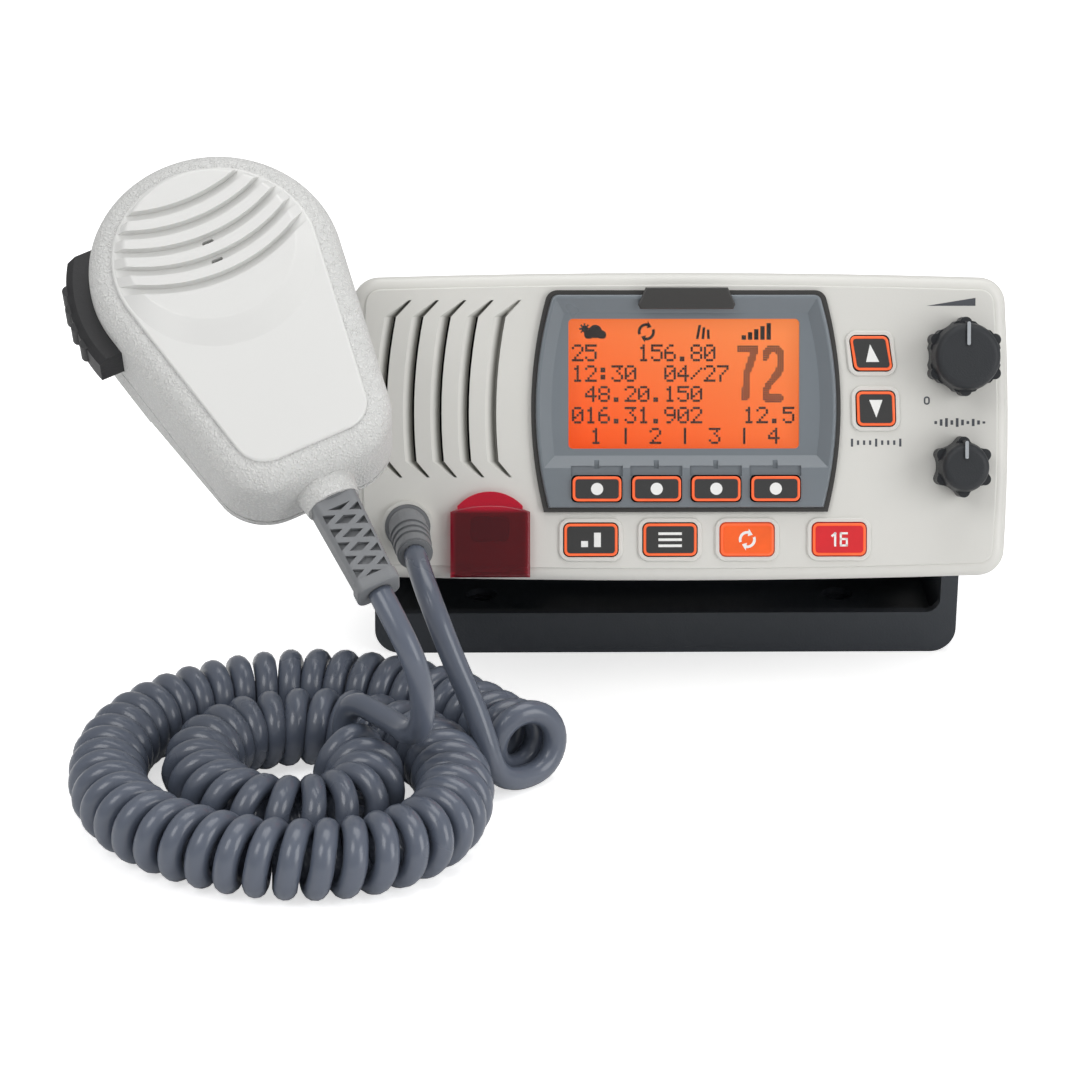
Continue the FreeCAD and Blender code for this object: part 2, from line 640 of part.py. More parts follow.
def make_bezel():
    body = new_body("display_bezel", SET_PLACE)
    frame = new_sketch(body, "XZ_Plane", "face_ahead+bezel_proud")
    bezel_outline(frame, "0")
    extrude(body, frame, "bezel_proud", reverse=True)
    dress(body, "Fillet", "bezel_corner", corner_edges(size("bezel_top")))
    dress(body, "Fillet", "0.6", lies_at("y", -size("face_ahead+bezel_proud")))
    plug = new_sketch(body, "XZ_Plane", "face_ahead")
    bezel_outline(plug, "-bezel_lap-fit_gap")
    extrude(body, plug, "face_wall", reverse=True)
    brink = new_sketch(body, "XZ_Plane", "face_ahead+bezel_proud")
    recess_outline(brink, "recess_rim", "bezel_top-recess_rim", "bezel_bottom+10.5")
    bed = new_sketch(body, "XZ_Plane", "face_ahead+bezel_proud-recess_depth")
    recess_outline(bed, "recess_rim+recess_slope", "bezel_top-recess_rim-recess_slope-0.6",
                   "bezel_bottom+10.5+recess_slope")
    sink(body, "SubtractiveLoft", brink, bed)
    bridge = new_sketch(body, "XZ_Plane", "face_ahead+bezel_proud")
    rounded(bridge, "bezel_x", f"({BADGE_LOW}+bezel_top)/2-0.05", "badge_width-3.6",
            f"bezel_top-({BADGE_LOW})-1.5", "0.8")
    extrude(body, bridge, "recess_depth", reverse=True)
    window = new_sketch(body, "XZ_Plane", "face_ahead+bezel_proud-recess_depth")
    rounded(window, "glass_x", "glass_z", "glass_width", "glass_height", "1.2")
    extrude(body, window, "bezel_proud+face_wall", "Pocket")
    seat = new_sketch(body, "XZ_Plane", "face_ahead-face_wall")
    rounded(seat, "glass_x", "glass_z", "glass_width+2*glass_lap+2*fit_gap",
            "glass_height+2*glass_lap+2*fit_gap", "1.2")
    extrude(body, seat, "glass_thick", "Pocket", reverse=True)
    wells = new_sketch(body, "XZ_Plane", "face_ahead+bezel_proud")
    for x, z, width, height, _, _ in SOFT_KEYS.values():
        rounded(wells, x, z, f"{width}+2*key_gap", f"{height}+2*key_gap", "key_corner")
    extrude(body, wells, "bezel_proud+face_wall", "Pocket")
    # a shallow step over each soft key, and a tick that leads from it to the display
    steps = new_sketch(body, "XZ_Plane", "face_ahead+bezel_proud")
    for x, z, width, height, _, _ in SOFT_KEYS.values():
        rectangle(steps, x, f"{z}+{height}/2+1.4", f"{width}+0.9", "2.8")
    extrude(body, steps, "0.8", "Pocket")
    ticks = new_sketch(body, "XZ_Plane", "face_ahead+bezel_proud")
    for x, z, width, height, _, _ in SOFT_KEYS.values():
        rectangle(ticks, x, f"{z}+{height}/2+3.7", "1.3", "3.4")
    extrude(body, ticks, "1.4", "Pocket")


make_bezel()


def make_trim():
    body = new_body("bezel_trim", SET_PLACE)
    outer = new_sketch(body, "XZ_Plane", "face_ahead+trim_proud")
    bezel_outline(outer, "trim_width+0.1")
    extrude(body, outer, "trim_proud", reverse=True)
    dress(body, "Fillet", "bezel_corner+trim_width+0.1",
          corner_edges(size("bezel_top+trim_width+0.1")))
    inner = new_sketch(body, "XZ_Plane", "face_ahead+trim_proud")
    bezel_outline(inner, "0.1")
    extrude(body, inner, "trim_proud", "Pocket")
    dress(body, "Fillet", "bezel_corner+0.1", corner_edges(size("bezel_top+0.1")))


make_trim()


def make_badge():
    body = new_body("badge_tab", SET_PLACE)
    sketch = new_sketch(body, "XZ_Plane", "face_ahead+bezel_proud+badge_proud")
    high, low = "bezel_top+trim_width+badge_lift", BADGE_LOW
    outline(sketch, [("bezel_x-badge_width/2+0.6", low), ("bezel_x+badge_width/2-0.6", low),
                     ("bezel_x+badge_width/2", f"{low}+1.2"), ("bezel_x+badge_width/2-2", high),
                     ("bezel_x-badge_width/2+2", high), ("bezel_x-badge_width/2", f"{low}+1.2")])
    extrude(body, sketch, "badge_proud", reverse=True)
    dress(body, "Fillet", "0.4", lies_at("y", -size("face_ahead+bezel_proud+badge_proud")))


make_badge()
block("lcd_window", SET_PLACE, "glass_x", "glass_z", "glass_width+2*glass_lap",
      "glass_height+2*glass_lap", "face_ahead-face_wall+glass_thick", "glass_thick", "1")
block("lcd_module", SET_PLACE, "glass_x", "glass_z", "glass_width+6", "glass_height+5",
      "face_ahead-face_wall-0.05", "display_depth")

# ---------------------------------------------------------------- keys, mat and front board
BOARD_FRONT = "face_ahead-face_wall-0.05-display_depth"
MAT_FRONT = f"{BOARD_FRONT}+mat_thick"


def make_key(name, key):
    """A key cap with a lit rim, a flange behind the wall and a stem down to the board."""
    x, z, width, height, ahead, lean = key
    body = new_body(name, SET_PLACE)
    front = f"face_ahead+({ahead})+key_proud"
    cap = new_sketch(body, "XZ_Plane", front)
    rounded(cap, x, z, f"{width}-2*key_rim", f"{height}-2*key_rim", "key_corner-key_rim+0.2", lean)
    extrude(body, cap, "key_rim_step", reverse=True)
    rim = new_sketch(body, "XZ_Plane", f"{front}-key_rim_step")
    rounded(rim, x, z, width, height, "key_corner", lean)
    extrude(body, rim, f"({ahead})+key_proud-key_rim_step+face_wall+fit_gap", reverse=True)
    flange = new_sketch(body, "XZ_Plane", "face_ahead-face_wall-fit_gap")
    rounded(flange, x, z, f"{width}+1.6", f"{height}+1.6", "key_corner", lean)
    extrude(body, flange, "key_flange", reverse=True)
    stem = new_sketch(body, "XZ_Plane", "face_ahead-face_wall-fit_gap-key_flange")
    circle(stem, x, z, "1.5")
    reach = f"face_ahead-face_wall-fit_gap-key_flange-({BOARD_FRONT})-key_travel-0.2"
    extrude(body, stem, reach, reverse=True)
    return body


ALL_KEYS = {**KEYS, **SOFT_KEYS}
for key_name, key_place in ALL_KEYS.items():
    make_key(key_name, key_place)
make_key("distress_key", DISTRESS)


def make_keypad_mat():
    body = new_body("keypad_mat", SET_PLACE)
    sheet = new_sketch(body, "XZ_Plane", MAT_FRONT)
    rectangle(sheet, "13", "-1.7", "98", "70")
    extrude(body, sheet, "mat_thick", reverse=True)
    holes = new_sketch(body, "XZ_Plane", MAT_FRONT)
    rectangle(holes, "glass_x", "glass_z", "glass_width+7", "glass_height+6")
    for x, z, *_ in ALL_KEYS.values():
        circle(holes, x, z, "2")
    extrude(body, holes, "mat_thick", "Pocket")


make_keypad_mat()


def make_front_board():
    body = new_body("front_board", SET_PLACE)
    board = new_sketch(body, "XZ_Plane", BOARD_FRONT)
    rectangle(board, "22", "-0.5", "121", "72")
    extrude(body, board, "board_thick", reverse=True)
    holes = new_sketch(body, "XZ_Plane", BOARD_FRONT)
    circle(holes, "volume_x", "volume_z", "4.2")
    circle(holes, "squelch_x", "squelch_z", "4.2")
    extrude(body, holes, "board_thick", "Pocket")
    notch = new_sketch(body, "XZ_Plane", BOARD_FRONT)
    for z in ("screw_z", "-screw_z"):
        circle(notch, "screw_x", z, "boss_radius+1")
    extrude(body, notch, "board_thick", "Pocket")


make_front_board()


def make_speaker():
    centre = at(SET_PLACE, "speaker_x", "-face_ahead+face_wall+0.2", "speaker_z")
    turned("speaker", centre, [
        ("0", "6"), ("7", "7.5"), ("speaker_radius-4", "1.2"), ("speaker_radius-3", "0"),
        ("speaker_radius", "0"), ("speaker_radius", "2"), ("speaker_radius-1.5", "3"),
        ("14", "9.5"), ("14", "speaker_depth"), ("0", "speaker_depth")])


make_speaker()


# ---------------------------------------------------------------- rotary controls
def make_pot(name, x, z):
    body = new_body(name, SET_PLACE)
    back = f"{BOARD_FRONT}-board_thick"
    case = new_sketch(body, "XZ_Plane", back)
    rounded(case, x, z, "pot_size", "pot_size", "1.5")
    extrude(body, case, "pot_depth", reverse=True)
    bush = new_sketch(body, "XZ_Plane", back)
    circle(bush, x, z, "shaft_radius+1")
    extrude(body, bush, "board_thick+1.5")
    bore = new_sketch(body, "XZ_Plane", f"{back}+board_thick+1.5")
    circle(bore, x, z, "shaft_radius+running_gap")
    extrude(body, bore, "board_thick+1.5+pot_depth-1.5", "Pocket")


def make_knob(name, x, z, radius):
    """A scalloped skirt with six grip nubs, a tapered cap, a pointer rib and its shaft."""
    body = new_body(name, at(SET_PLACE, x, "-face_ahead", z))
    skirt = new_sketch(body, "XZ_Plane", "knob_gap")
    circle(skirt, "0", "0", f"({radius})-0.9")
    extrude(body, skirt, "knob_height*0.55-knob_gap")
    nub = new_sketch(body, "XZ_Plane", "knob_gap")
    circle(nub, "0", f"({radius})-1.6", "1.6")
    nub_pad = extrude(body, nub, "knob_height*0.62-knob_gap")
    nubs = body.newObject("PartDesign::PolarPattern", name + "_nubs")
    nubs.Originals = [nub_pad]
    nubs.Axis = (nub, ["N_Axis"])
    nubs.Angle = 360
    nubs.Occurrences = 6
    body.Tip = nubs
    scallop = new_sketch(body, "XZ_Plane", "knob_gap")
    reach = f"(({radius})-0.9+5.3)"
    circle(scallop, f"{reach}*0.5", f"{reach}*{math.sqrt(0.75)}", "6")
    scallop_cut = extrude(body, scallop, "knob_height*0.55", "Pocket", reverse=True)
    scallops = body.newObject("PartDesign::PolarPattern", name + "_scallops")
    scallops.Originals = [scallop_cut]
    scallops.Axis = (scallop, ["N_Axis"])
    scallops.Angle = 360
    scallops.Occurrences = 6
    body.Tip = scallops
    cap = new_sketch(body, "XZ_Plane", "knob_height*0.55")
    circle(cap, "0", "0", f"({radius})-1.3")
    extrude(body, cap, "knob_height*0.45", taper="-7")
    dress(body, "Fillet", "1.8", lies_at("y", -size("knob_height")))
    pointer = new_sketch(body, "XZ_Plane", "knob_height*0.5")
    rounded(pointer, "0", f"({radius})*0.58", "1.2", f"({radius})*0.62", "0.5")
    extrude(body, pointer, "knob_height*0.5+0.5")
    shaft = new_sketch(body, "XZ_Plane", "knob_gap")
    circle(shaft, "0", "0", "shaft_radius")
    extrude(body, shaft, f"face_ahead-({BOARD_FRONT})+knob_gap+board_thick+pot_depth-2",
            reverse=True)


for knob, spot_x, spot_z, knob_radius in (
        ("volume", "volume_x", "volume_z", "volume_radius"),
        ("squelch", "squelch_x", "squelch_z", "squelch_radius")):
    make_pot(knob + "_pot", spot_x, spot_z)
    make_knob(knob + "_knob", spot_x, spot_z, knob_radius)


# ---------------------------------------------------------------- distress cover and its pin
def make_distress_cover():
    """A clear cap with a thumb lip, notched round the two lugs that it hinges on."""
    body = new_body("distress_cover", SET_PLACE)
    left, right = "cover_x-cover_width/2", "cover_x+cover_width/2"
    shell = new_sketch(body, "XZ_Plane", "face_ahead+cover_proud")
    outline(shell, [(left, "cover_bottom"), (right, "cover_bottom"), (right, "cover_top"),
                    (f"{right}-1.6", "cover_top+0.6", "cover_crown"),
                    (f"{left}+1.6", "cover_top+0.6"), (left, "cover_top")])
    extrude(body, shell, "cover_proud-cover_gap", reverse=True)
    dress(body, "Fillet", "0.8", lies_at("y", -size("face_ahead+cover_proud")))
    lip = new_sketch(body, "XZ_Plane", "face_ahead+cover_gap+lip_thick")
    outline(lip, [(f"{left}+lip_inset", "cover_top"), (f"{right}-lip_inset", "cover_top"),
                  (f"{right}-lip_inset", "cover_top+1.5", "cover_lip-cover_top-1.5"),
                  (f"{left}+lip_inset", "cover_top+1.5")])
    extrude(body, lip, "lip_thick", reverse=True)
    hollow = new_sketch(body, "XZ_Plane", "face_ahead+cover_gap")
    rounded(hollow, "cover_x", "(cover_top+cover_pin_z+1.4)/2", "cover_width-2*cover_wall",
            "cover_top-cover_pin_z-1.4-2*cover_wall", "0.8")
    extrude(body, hollow, "cover_proud-cover_gap-cover_wall", "Pocket", reverse=True)
    notches = new_sketch(body, "XZ_Plane", "face_ahead+cover_gap")
    for side in ("-", "+"):
        rectangle(notches, f"cover_x{side}lug_spread/2", "(cover_bottom-1+cover_pin_z+lug_radius+0.25)/2",
                  "lug_width+2*fit_gap", "cover_pin_z+lug_radius+0.25-cover_bottom+1")
    extrude(body, notches, "cover_pin_ahead+lug_radius+0.25-cover_gap", "Pocket", reverse=True)
    bore = new_sketch(body, "YZ_Plane", f"{left}-1")
    circle(bore, "-face_ahead-cover_pin_ahead", "cover_pin_z", "cover_pin_radius+running_gap")
    extrude(body, bore, "cover_width+2", "Pocket", reverse=True)


make_distress_cover()


def make_hinge_pin():
    pin = doc.addObject("Part::Cylinder", "hinge_pin")
    pin.Label = "hinge_pin"
    pin.setExpression("Radius", bound("cover_pin_radius"))
    pin.setExpression("Height", bound("cover_width-0.8"))
    pin.Placement = at(SET_PLACE, "cover_x-cover_width/2+0.4", "-face_ahead-cover_pin_ahead",
                       "cover_pin_z") * Placement(Vector(), Rotation(Vector(0, 1, 0), 90))
    SUBPARTS.append(pin)


make_hinge_pin()


# ---------------------------------------------------------------- rear case
def make_rear_case():
    body = new_body("rear_case", SET_PLACE)
    flange_front = "face_ahead-skirt_depth+flange_thick"
    case = new_sketch(body, "XZ_Plane", flange_front)
    rounded(case, "0", "0", "case_width", "case_height", "case_corner")
    extrude(body, case, f"{flange_front}+case_back", reverse=True)
    flange = new_sketch(body, "XZ_Plane", flange_front)
    bowed_face(flange, "face_wall+flange_gap")
    extrude(body, flange, "flange_thick", reverse=True)
    hollow = new_sketch(body, "XZ_Plane", flange_front)
    rounded(hollow, "0", "0", "case_width-2*case_wall", "case_height-2*case_wall",
            "case_corner-case_wall+0.5")
    extrude(body, hollow, f"{flange_front}+case_back-fin_depth-2*case_wall", "Pocket")
    groove = new_sketch(body, "XZ_Plane", "-case_back")
    rectangle(groove, "-fin_pitch*(fin_count-1)/2", "0", "fin_groove", "case_height+2")
    groove_cut = extrude(body, groove, "fin_depth", "Pocket", reverse=True)
    row_of(body, [groove_cut], groove, "H_Axis", "fin_pitch", "fin_count")
    # threaded bosses for the clamp knobs
    bosses = new_sketch(body, "YZ_Plane", "-case_width/2+case_wall/2")
    circle(bosses, "0", "0", "7")
    extrude(body, bosses, "9")
    other = new_sketch(body, "YZ_Plane", "case_width/2-case_wall/2")
    circle(other, "0", "0", "7")
    extrude(body, other, "9", reverse=True)
    for side, back in (("-", False), ("", True)):
        bore = new_sketch(body, "YZ_Plane", f"{side}case_width/2")
        circle(bore, "0", "0", "stud_radius+running_gap")
        extrude(body, bore, "9", "Pocket", reverse=not back)
    # screw holes, board pillars, antenna and power entries
    holes = new_sketch(body, "XZ_Plane", flange_front)
    for x, z in screw_places():
        circle(holes, x, z, "screw_radius+0.2")
    extrude(body, holes, "flange_thick", "Pocket")
    pillars = new_sketch(body, "XY_Plane", "-case_height/2+case_wall/2")
    for x in ("-60", "60"):
        for y in ("-22", "26"):
            circle(pillars, x, y, "3")
    extrude(body, pillars, "11-case_wall/2")
    entries = new_sketch(body, "XZ_Plane", "-case_back")
    circle(entries, "54", "0", "5.5")
    circle(entries, "-54", "0", "5.5")
    extrude(body, entries, "fin_depth+2*case_wall+1", "Pocket", reverse=True)
    return body


make_rear_case()


def make_case_gasket():
    body = new_body("case_gasket", SET_PLACE)
    outer = new_sketch(body, "XZ_Plane", "face_ahead-skirt_depth+flange_thick+gasket_thick")
    bowed_face(outer, "face_wall+flange_gap")
    extrude(body, outer, "gasket_thick", reverse=True)
    inner = new_sketch(body, "XZ_Plane", "face_ahead-skirt_depth+flange_thick+gasket_thick")
    rounded(inner, "0", "0", "case_width-2*case_wall", "case_height-2*case_wall", "case_corner")
    for x, z in screw_places():
        circle(inner, x, z, "screw_radius+0.2")
    extrude(body, inner, "gasket_thick", "Pocket")


make_case_gasket()


def make_case_screws():
    """Four screws from behind the flange, one node."""
    body = doc.addObject("Part::Feature", "case_screws")
    body.Label = "case_screws"
    back = size("skirt_depth-face_ahead")
    solids = []
    for x, z in screw_places():
        base = Vector(size(x), back, size(z))
        head = Part.makeCylinder(size("screw_head"), 2, base, Vector(0, 1, 0))
        shank = Part.makeCylinder(size("screw_radius"), size("flange_thick+gasket_thick+8"),
                                  base, Vector(0, -1, 0))
        socket = Part.makeCylinder(1.2, 1.2, base + Vector(0, 0.8, 0), Vector(0, 1, 0))
        solids.append(head.fuse(shank).removeSplitter().cut(socket))
    body.Shape = Part.makeCompound(solids)
    body.Placement = SET_PLACE
    SUBPARTS.append(body)


make_case_screws()


# ---------------------------------------------------------------- inside the rear case
def make_main_board():
    body = new_body("main_board", SET_PLACE)
    board = new_sketch(body, "XY_Plane", "-case_height/2+11")
    rectangle(board, "0", "2", "136", "62")
    extrude(body, board, "board_thick")
    return body


make_main_board()
BOARD_TOP = "-case_height/2+11+board_thick"


def make_shield():
    body = new_body("rf_shield", SET_PLACE)
    can = new_sketch(body, "XY_Plane", BOARD_TOP)
    rounded(can, "22", "4", "62", "40", "1.5")
    extrude(body, can, "14")
    hollow = new_sketch(body, "XY_Plane", BOARD_TOP)
    rounded(hollow, "22", "4", "61", "39", "1")
    extrude(body, hollow, "13.4", "Pocket", reverse=True)


make_shield()


def make_power_amplifier():
    body = new_body("power_amplifier", SET_PLACE)
    base = new_sketch(body, "XY_Plane", BOARD_TOP)
    rectangle(base, "-34", "20", "44", "17")
    extrude(body, base, "3")
    lid = new_sketch(body, "XY_Plane", f"{BOARD_TOP}+3")
    rounded(lid, "-34", "20", "36", "15", "1")
    extrude(body, lid, "6")


make_power_amplifier()


def make_antenna_socket():
    """Flanged coaxial socket: square flange on the case, threaded barrel, insulator bore."""
    body = new_body("antenna_socket", at(SET_PLACE, "54", "case_back", "0"))
    flange = new_sketch(body, "XZ_Plane")
    rounded(flange, "0", "0", "25", "25", "2")
    extrude(body, flange, "2", reverse=True)
    barrel = new_sketch(body, "XZ_Plane", "-2")
    circle(barrel, "0", "0", "7.9")
    extrude(body, barrel, "16", reverse=True)
    neck = new_sketch(body, "XZ_Plane")
    circle(neck, "0", "0", "5.4")
    extrude(body, neck, "fin_depth+2*case_wall")
    bore = new_sketch(body, "XZ_Plane", "-18")
    circle(bore, "0", "0", "2")
    extrude(body, bore, "12", "Pocket", reverse=True)


make_antenna_socket()
turned("power_gland", at(SET_PLACE, "-54", "case_back", "0"), [
    ("0", "-fin_depth-2*case_wall"), ("5.4", "-fin_depth-2*case_wall"), ("5.4", "0"),
    ("8", "0"), ("8", "3"), ("6.4", "10"), ("3.2", "10"), ("3.2", "2"), ("0", "2")])


# ---------------------------------------------------------------- bracket and clamp knobs
def make_bracket():
    body = new_body("bracket", WORLD)
    inner = "bracket_width/2-bracket_wall"
    outer = "bracket_width/2"
    u_shape = new_sketch(body, "XZ_Plane", "bracket_depth/2")
    outline(u_shape, [
        (f"-({outer})+bracket_corner", "0"), (f"{outer}-bracket_corner", "0",
                                              f"bracket_corner*{QUARTER_BOW}", "bracket_corner"),
        (outer, "bracket_corner"), (outer, "pivot_height+arm_radius"),
        (inner, "pivot_height+arm_radius"), (inner, "bracket_floor"),
        (f"-({inner})", "bracket_floor"), (f"-({inner})", "pivot_height+arm_radius"),
        (f"-({outer})", "pivot_height+arm_radius"),
        (f"-({outer})", "bracket_corner", f"bracket_corner*{QUARTER_BOW}", "bracket_corner")])
    extrude(body, u_shape, "bracket_depth", reverse=True)
    arms = size("pivot_height+arm_radius")

    def arm_tops(edge):
        box = edge.BoundBox
        across = box.XLength > 1 and box.YLength < 1e-3 and box.ZLength < 1e-3
        return across and abs(box.ZMax - arms) < 1e-3
    dress(body, "Fillet", "arm_radius-0.01", arm_tops)
    # turned-up edges of the base plate
    for front in ("bracket_depth/2", "-bracket_depth/2+bracket_lip_wall"):
        lip = new_sketch(body, "XZ_Plane", front)
        rise = f"-lip_corner*{QUARTER_BOW}"
        outline(lip, [(f"-({inner})-1", "2"), (f"{inner}+1", "2"),
                      (f"{inner}+1", "bracket_lip+lip_corner"),
                      (inner, "bracket_lip+lip_corner", rise, "lip_corner"),
                      (f"{inner}-lip_corner", "bracket_lip"),
                      (f"-({inner})+lip_corner", "bracket_lip", rise, "lip_corner"),
                      (f"-({inner})", "bracket_lip+lip_corner"),
                      (f"-({inner})-1", "bracket_lip+lip_corner")])
        extrude(body, lip, "bracket_lip_wall", reverse=True)
    holes = new_sketch(body, "XY_Plane", "bracket_floor")
    mouths = new_sketch(body, "XY_Plane", "bracket_floor")
    for sx in ("-", ""):
        for sy in ("-", ""):
            circle(holes, f"{sx}hole_spacing_x/2", f"{sy}hole_spacing_y/2", "hole_radius")
            circle(mouths, f"{sx}hole_spacing_x/2", f"{sy}hole_spacing_y/2", "sink_radius")
    extrude(body, holes, "bracket_floor+1", "Pocket")
    extrude(body, mouths, "1.8", "Pocket")
    bore = new_sketch(body, "YZ_Plane", f"-({outer})-1")
    circle(bore, "0", "pivot_height", "stud_radius+running_gap+0.03")
    extrude(body, bore, "bracket_width+2", "Pocket", reverse=True)


make_bracket()


def make_gimbal(side):
    """A fluted clamp knob with its stud, and the washer between the arm and the case."""
    sign = -1 if side == "left" else 1
    seat = "bracket_width/2" + ("+hanger_thick" if side == "left" else "")
    turn = Rotation(Vector(0, 0, 1), 90 if side == "left" else -90)
    name = "gimbal_knob_" + side
    knob = new_body(name, Placement(Vector(sign * size(seat), 0, size("pivot_height")), turn))
    hub = new_sketch(knob, "XZ_Plane", "0")
    circle(hub, "0", "0", "gimbal_radius")
    extrude(knob, hub, "gimbal_length", reverse=True)
    dress(knob, "Fillet", "2", lies_at("y", size("gimbal_length")))
    flute = new_sketch(knob, "XZ_Plane", "-2.5")
    circle(flute, "0", "gimbal_radius+1.2", "2.6")
    cut = extrude(knob, flute, "gimbal_length", "Pocket")
    flutes = knob.newObject("PartDesign::PolarPattern", name + "_flutes")
    flutes.Originals = [cut]
    flutes.Axis = (flute, ["N_Axis"])
    flutes.Angle = 360
    flutes.Occurrences = 8
    knob.Tip = flutes
    stud = new_sketch(knob, "XZ_Plane", "0")
    circle(stud, "0", "0", "stud_radius")
    extrude(knob, stud, f"{seat}-case_width/2+7")
    gap = "(bracket_width-2*bracket_wall-case_width)/2"
    washer = new_body("gimbal_washer_" + side,
                      Placement(Vector(sign * size("bracket_width/2-bracket_wall-0.05"), 0,
                                       size("pivot_height")), turn))
    ring = new_sketch(washer, "XZ_Plane", "0")
    circle(ring, "0", "0", "10")
    extrude(washer, ring, f"{gap}-0.1")
    eye = new_sketch(washer, "XZ_Plane", "0")
    circle(eye, "0", "0", "stud_radius+running_gap+0.03")
    extrude(washer, eye, gap, "Pocket", reverse=True)


for gimbal_side in ("left", "right"):
    make_gimbal(gimbal_side)


# ---------------------------------------------------------------- microphone
TAIL_RISE = size("dome_z-tail_z")
SIDE_LEAN = (math.atan(size("tail_x") / TAIL_RISE)
             + math.asin(size("tail_radius-dome_radius") / math.hypot(size("tail_x"), TAIL_RISE)))
SIDE_X, SIDE_Z = math.cos(SIDE_LEAN), math.sin(SIDE_LEAN)
TAIL_BOW = 1 - math.cos((SIDE_LEAN + math.pi / 2) / 2)


def mic_outline(sketch, inset):
    """A round top, two straight sides that taper down and two round bottom corners."""
    dome, tail = f"(dome_radius-({inset}))", f"(tail_radius-({inset}))"
    low = f"tail_z-{tail}"
    right_x, right_z = f"tail_x+{SIDE_X}*{tail}", f"tail_z+{SIDE_Z}*{tail}"
    top_x, top_z = f"{SIDE_X}*{dome}", f"dome_z+{SIDE_Z}*{dome}"
    outline(sketch, [
        ("-tail_x", low), ("tail_x", low, f"{TAIL_BOW}*{tail}", tail),
        (right_x, right_z), (top_x, top_z, f"{1 - SIDE_Z}*{dome}", dome),
        (f"-{top_x}", top_z), (f"-({right_x})", right_z, f"{TAIL_BOW}*{tail}", tail)])


def mic_boss(body):
    boss = new_sketch(body, "XY_Plane", "tail_z-tail_radius-mic_boss_length")
    circle(boss, "0", "relief_depth", "mic_boss_radius")
    extrude(body, boss, "mic_boss_length+mic_wall", taper="mic_boss_draft")


def relief_hole(body):
    hole = new_sketch(body, "XY_Plane", "tail_z-tail_radius-mic_boss_length-1")
    circle(hole, "0", "relief_depth", "relief_top+0.1")
    extrude(body, hole, "mic_boss_length+2*mic_wall+2", "Pocket", reverse=True)


def talk_opening(body):
    """The side opening that the talk button moves in, through the left wall."""
    hole = new_sketch(body, "YZ_Plane", "-dome_radius-talk_proud-2")
    rectangle(hole, "talk_middle", "(talk_low+talk_high)/2", "talk_depth+2*fit_gap",
              "talk_high-talk_low+2*fit_gap")
    extrude(body, hole, "talk_proud+dome_radius/2", "Pocket", reverse=True)


MIC_BACK = "mic_front_depth+mic_seam+mic_back_depth"
LOUVRES = 5


def make_mic_front_shell():
    body = new_body("mic_front_shell", MIC_PLACE)
    front = new_sketch(body)
    mic_outline(front, "0")
    extrude(body, front, "mic_front_depth", reverse=True)
    dress(body, "Fillet", "mic_rounding", lies_at("y", 0))
    mic_boss(body)
    trim = new_sketch(body, "XZ_Plane", "-mic_front_depth")
    rectangle(trim, "0", "tail_z-tail_radius", "3*mic_boss_radius", "4*mic_boss_length")
    extrude(body, trim, "mic_boss_radius+2", "Pocket")
    panel = new_sketch(body)
    mic_outline(panel, "panel_inset")
    extrude(body, panel, "panel_proud")
    dress(body, "Fillet", "panel_proud*0.7", lies_at("y", -size("panel_proud")))
    foot = new_sketch(body, "XZ_Plane", "panel_proud")
    circle(foot, "0", "dome_z", "mic_dome_foot")
    crown = new_sketch(body, "XZ_Plane", "panel_proud+mic_dome_rise")
    circle(crown, "0", "dome_z+mic_dome_shift", "mic_dome_crown")
    sink(body, "AdditiveLoft", foot, crown)
    dress(body, "Fillet", "1.2", lies_at("y", -size("panel_proud+mic_dome_rise")))
    grooves = new_sketch(body, "XZ_Plane", "panel_proud+mic_dome_rise")
    for number in range(LOUVRES):
        low = f"mic_louvre_z-{number}*mic_louvre_pitch+mic_louvre_bow"
        high = f"{low}+mic_louvre_width"
        outline(grooves, [
            ("-mic_louvre_half", low, "mic_louvre_bow"), ("mic_louvre_half", low),
            ("mic_louvre_half", high, "-mic_louvre_bow"), ("-mic_louvre_half", high)])
    extrude(body, grooves, "mic_dome_rise-0.1", "Pocket")
    hollow = new_sketch(body, "XZ_Plane", "-mic_front_depth")
    mic_outline(hollow, "mic_wall")
    extrude(body, hollow, "mic_front_depth-mic_wall", "Pocket", reverse=True)
    relief_hole(body)
    talk_opening(body)
    sound = new_sketch(body, "XZ_Plane", "panel_proud+mic_dome_rise")
    for number in (2, 3):
        rounded(sound, "0", f"mic_louvre_z-{number}*mic_louvre_pitch+mic_louvre_width/2",
                "sound_width", "sound_height", "0.4")
    extrude(body, sound, "mic_wall+panel_proud+mic_dome_rise+1", "Pocket")


make_mic_front_shell()


SLOPE_AT_SCREW = f"{MIC_BACK}-slope_drop*(slope_start-mic_screw_z)/(slope_start-tail_z+tail_radius)"


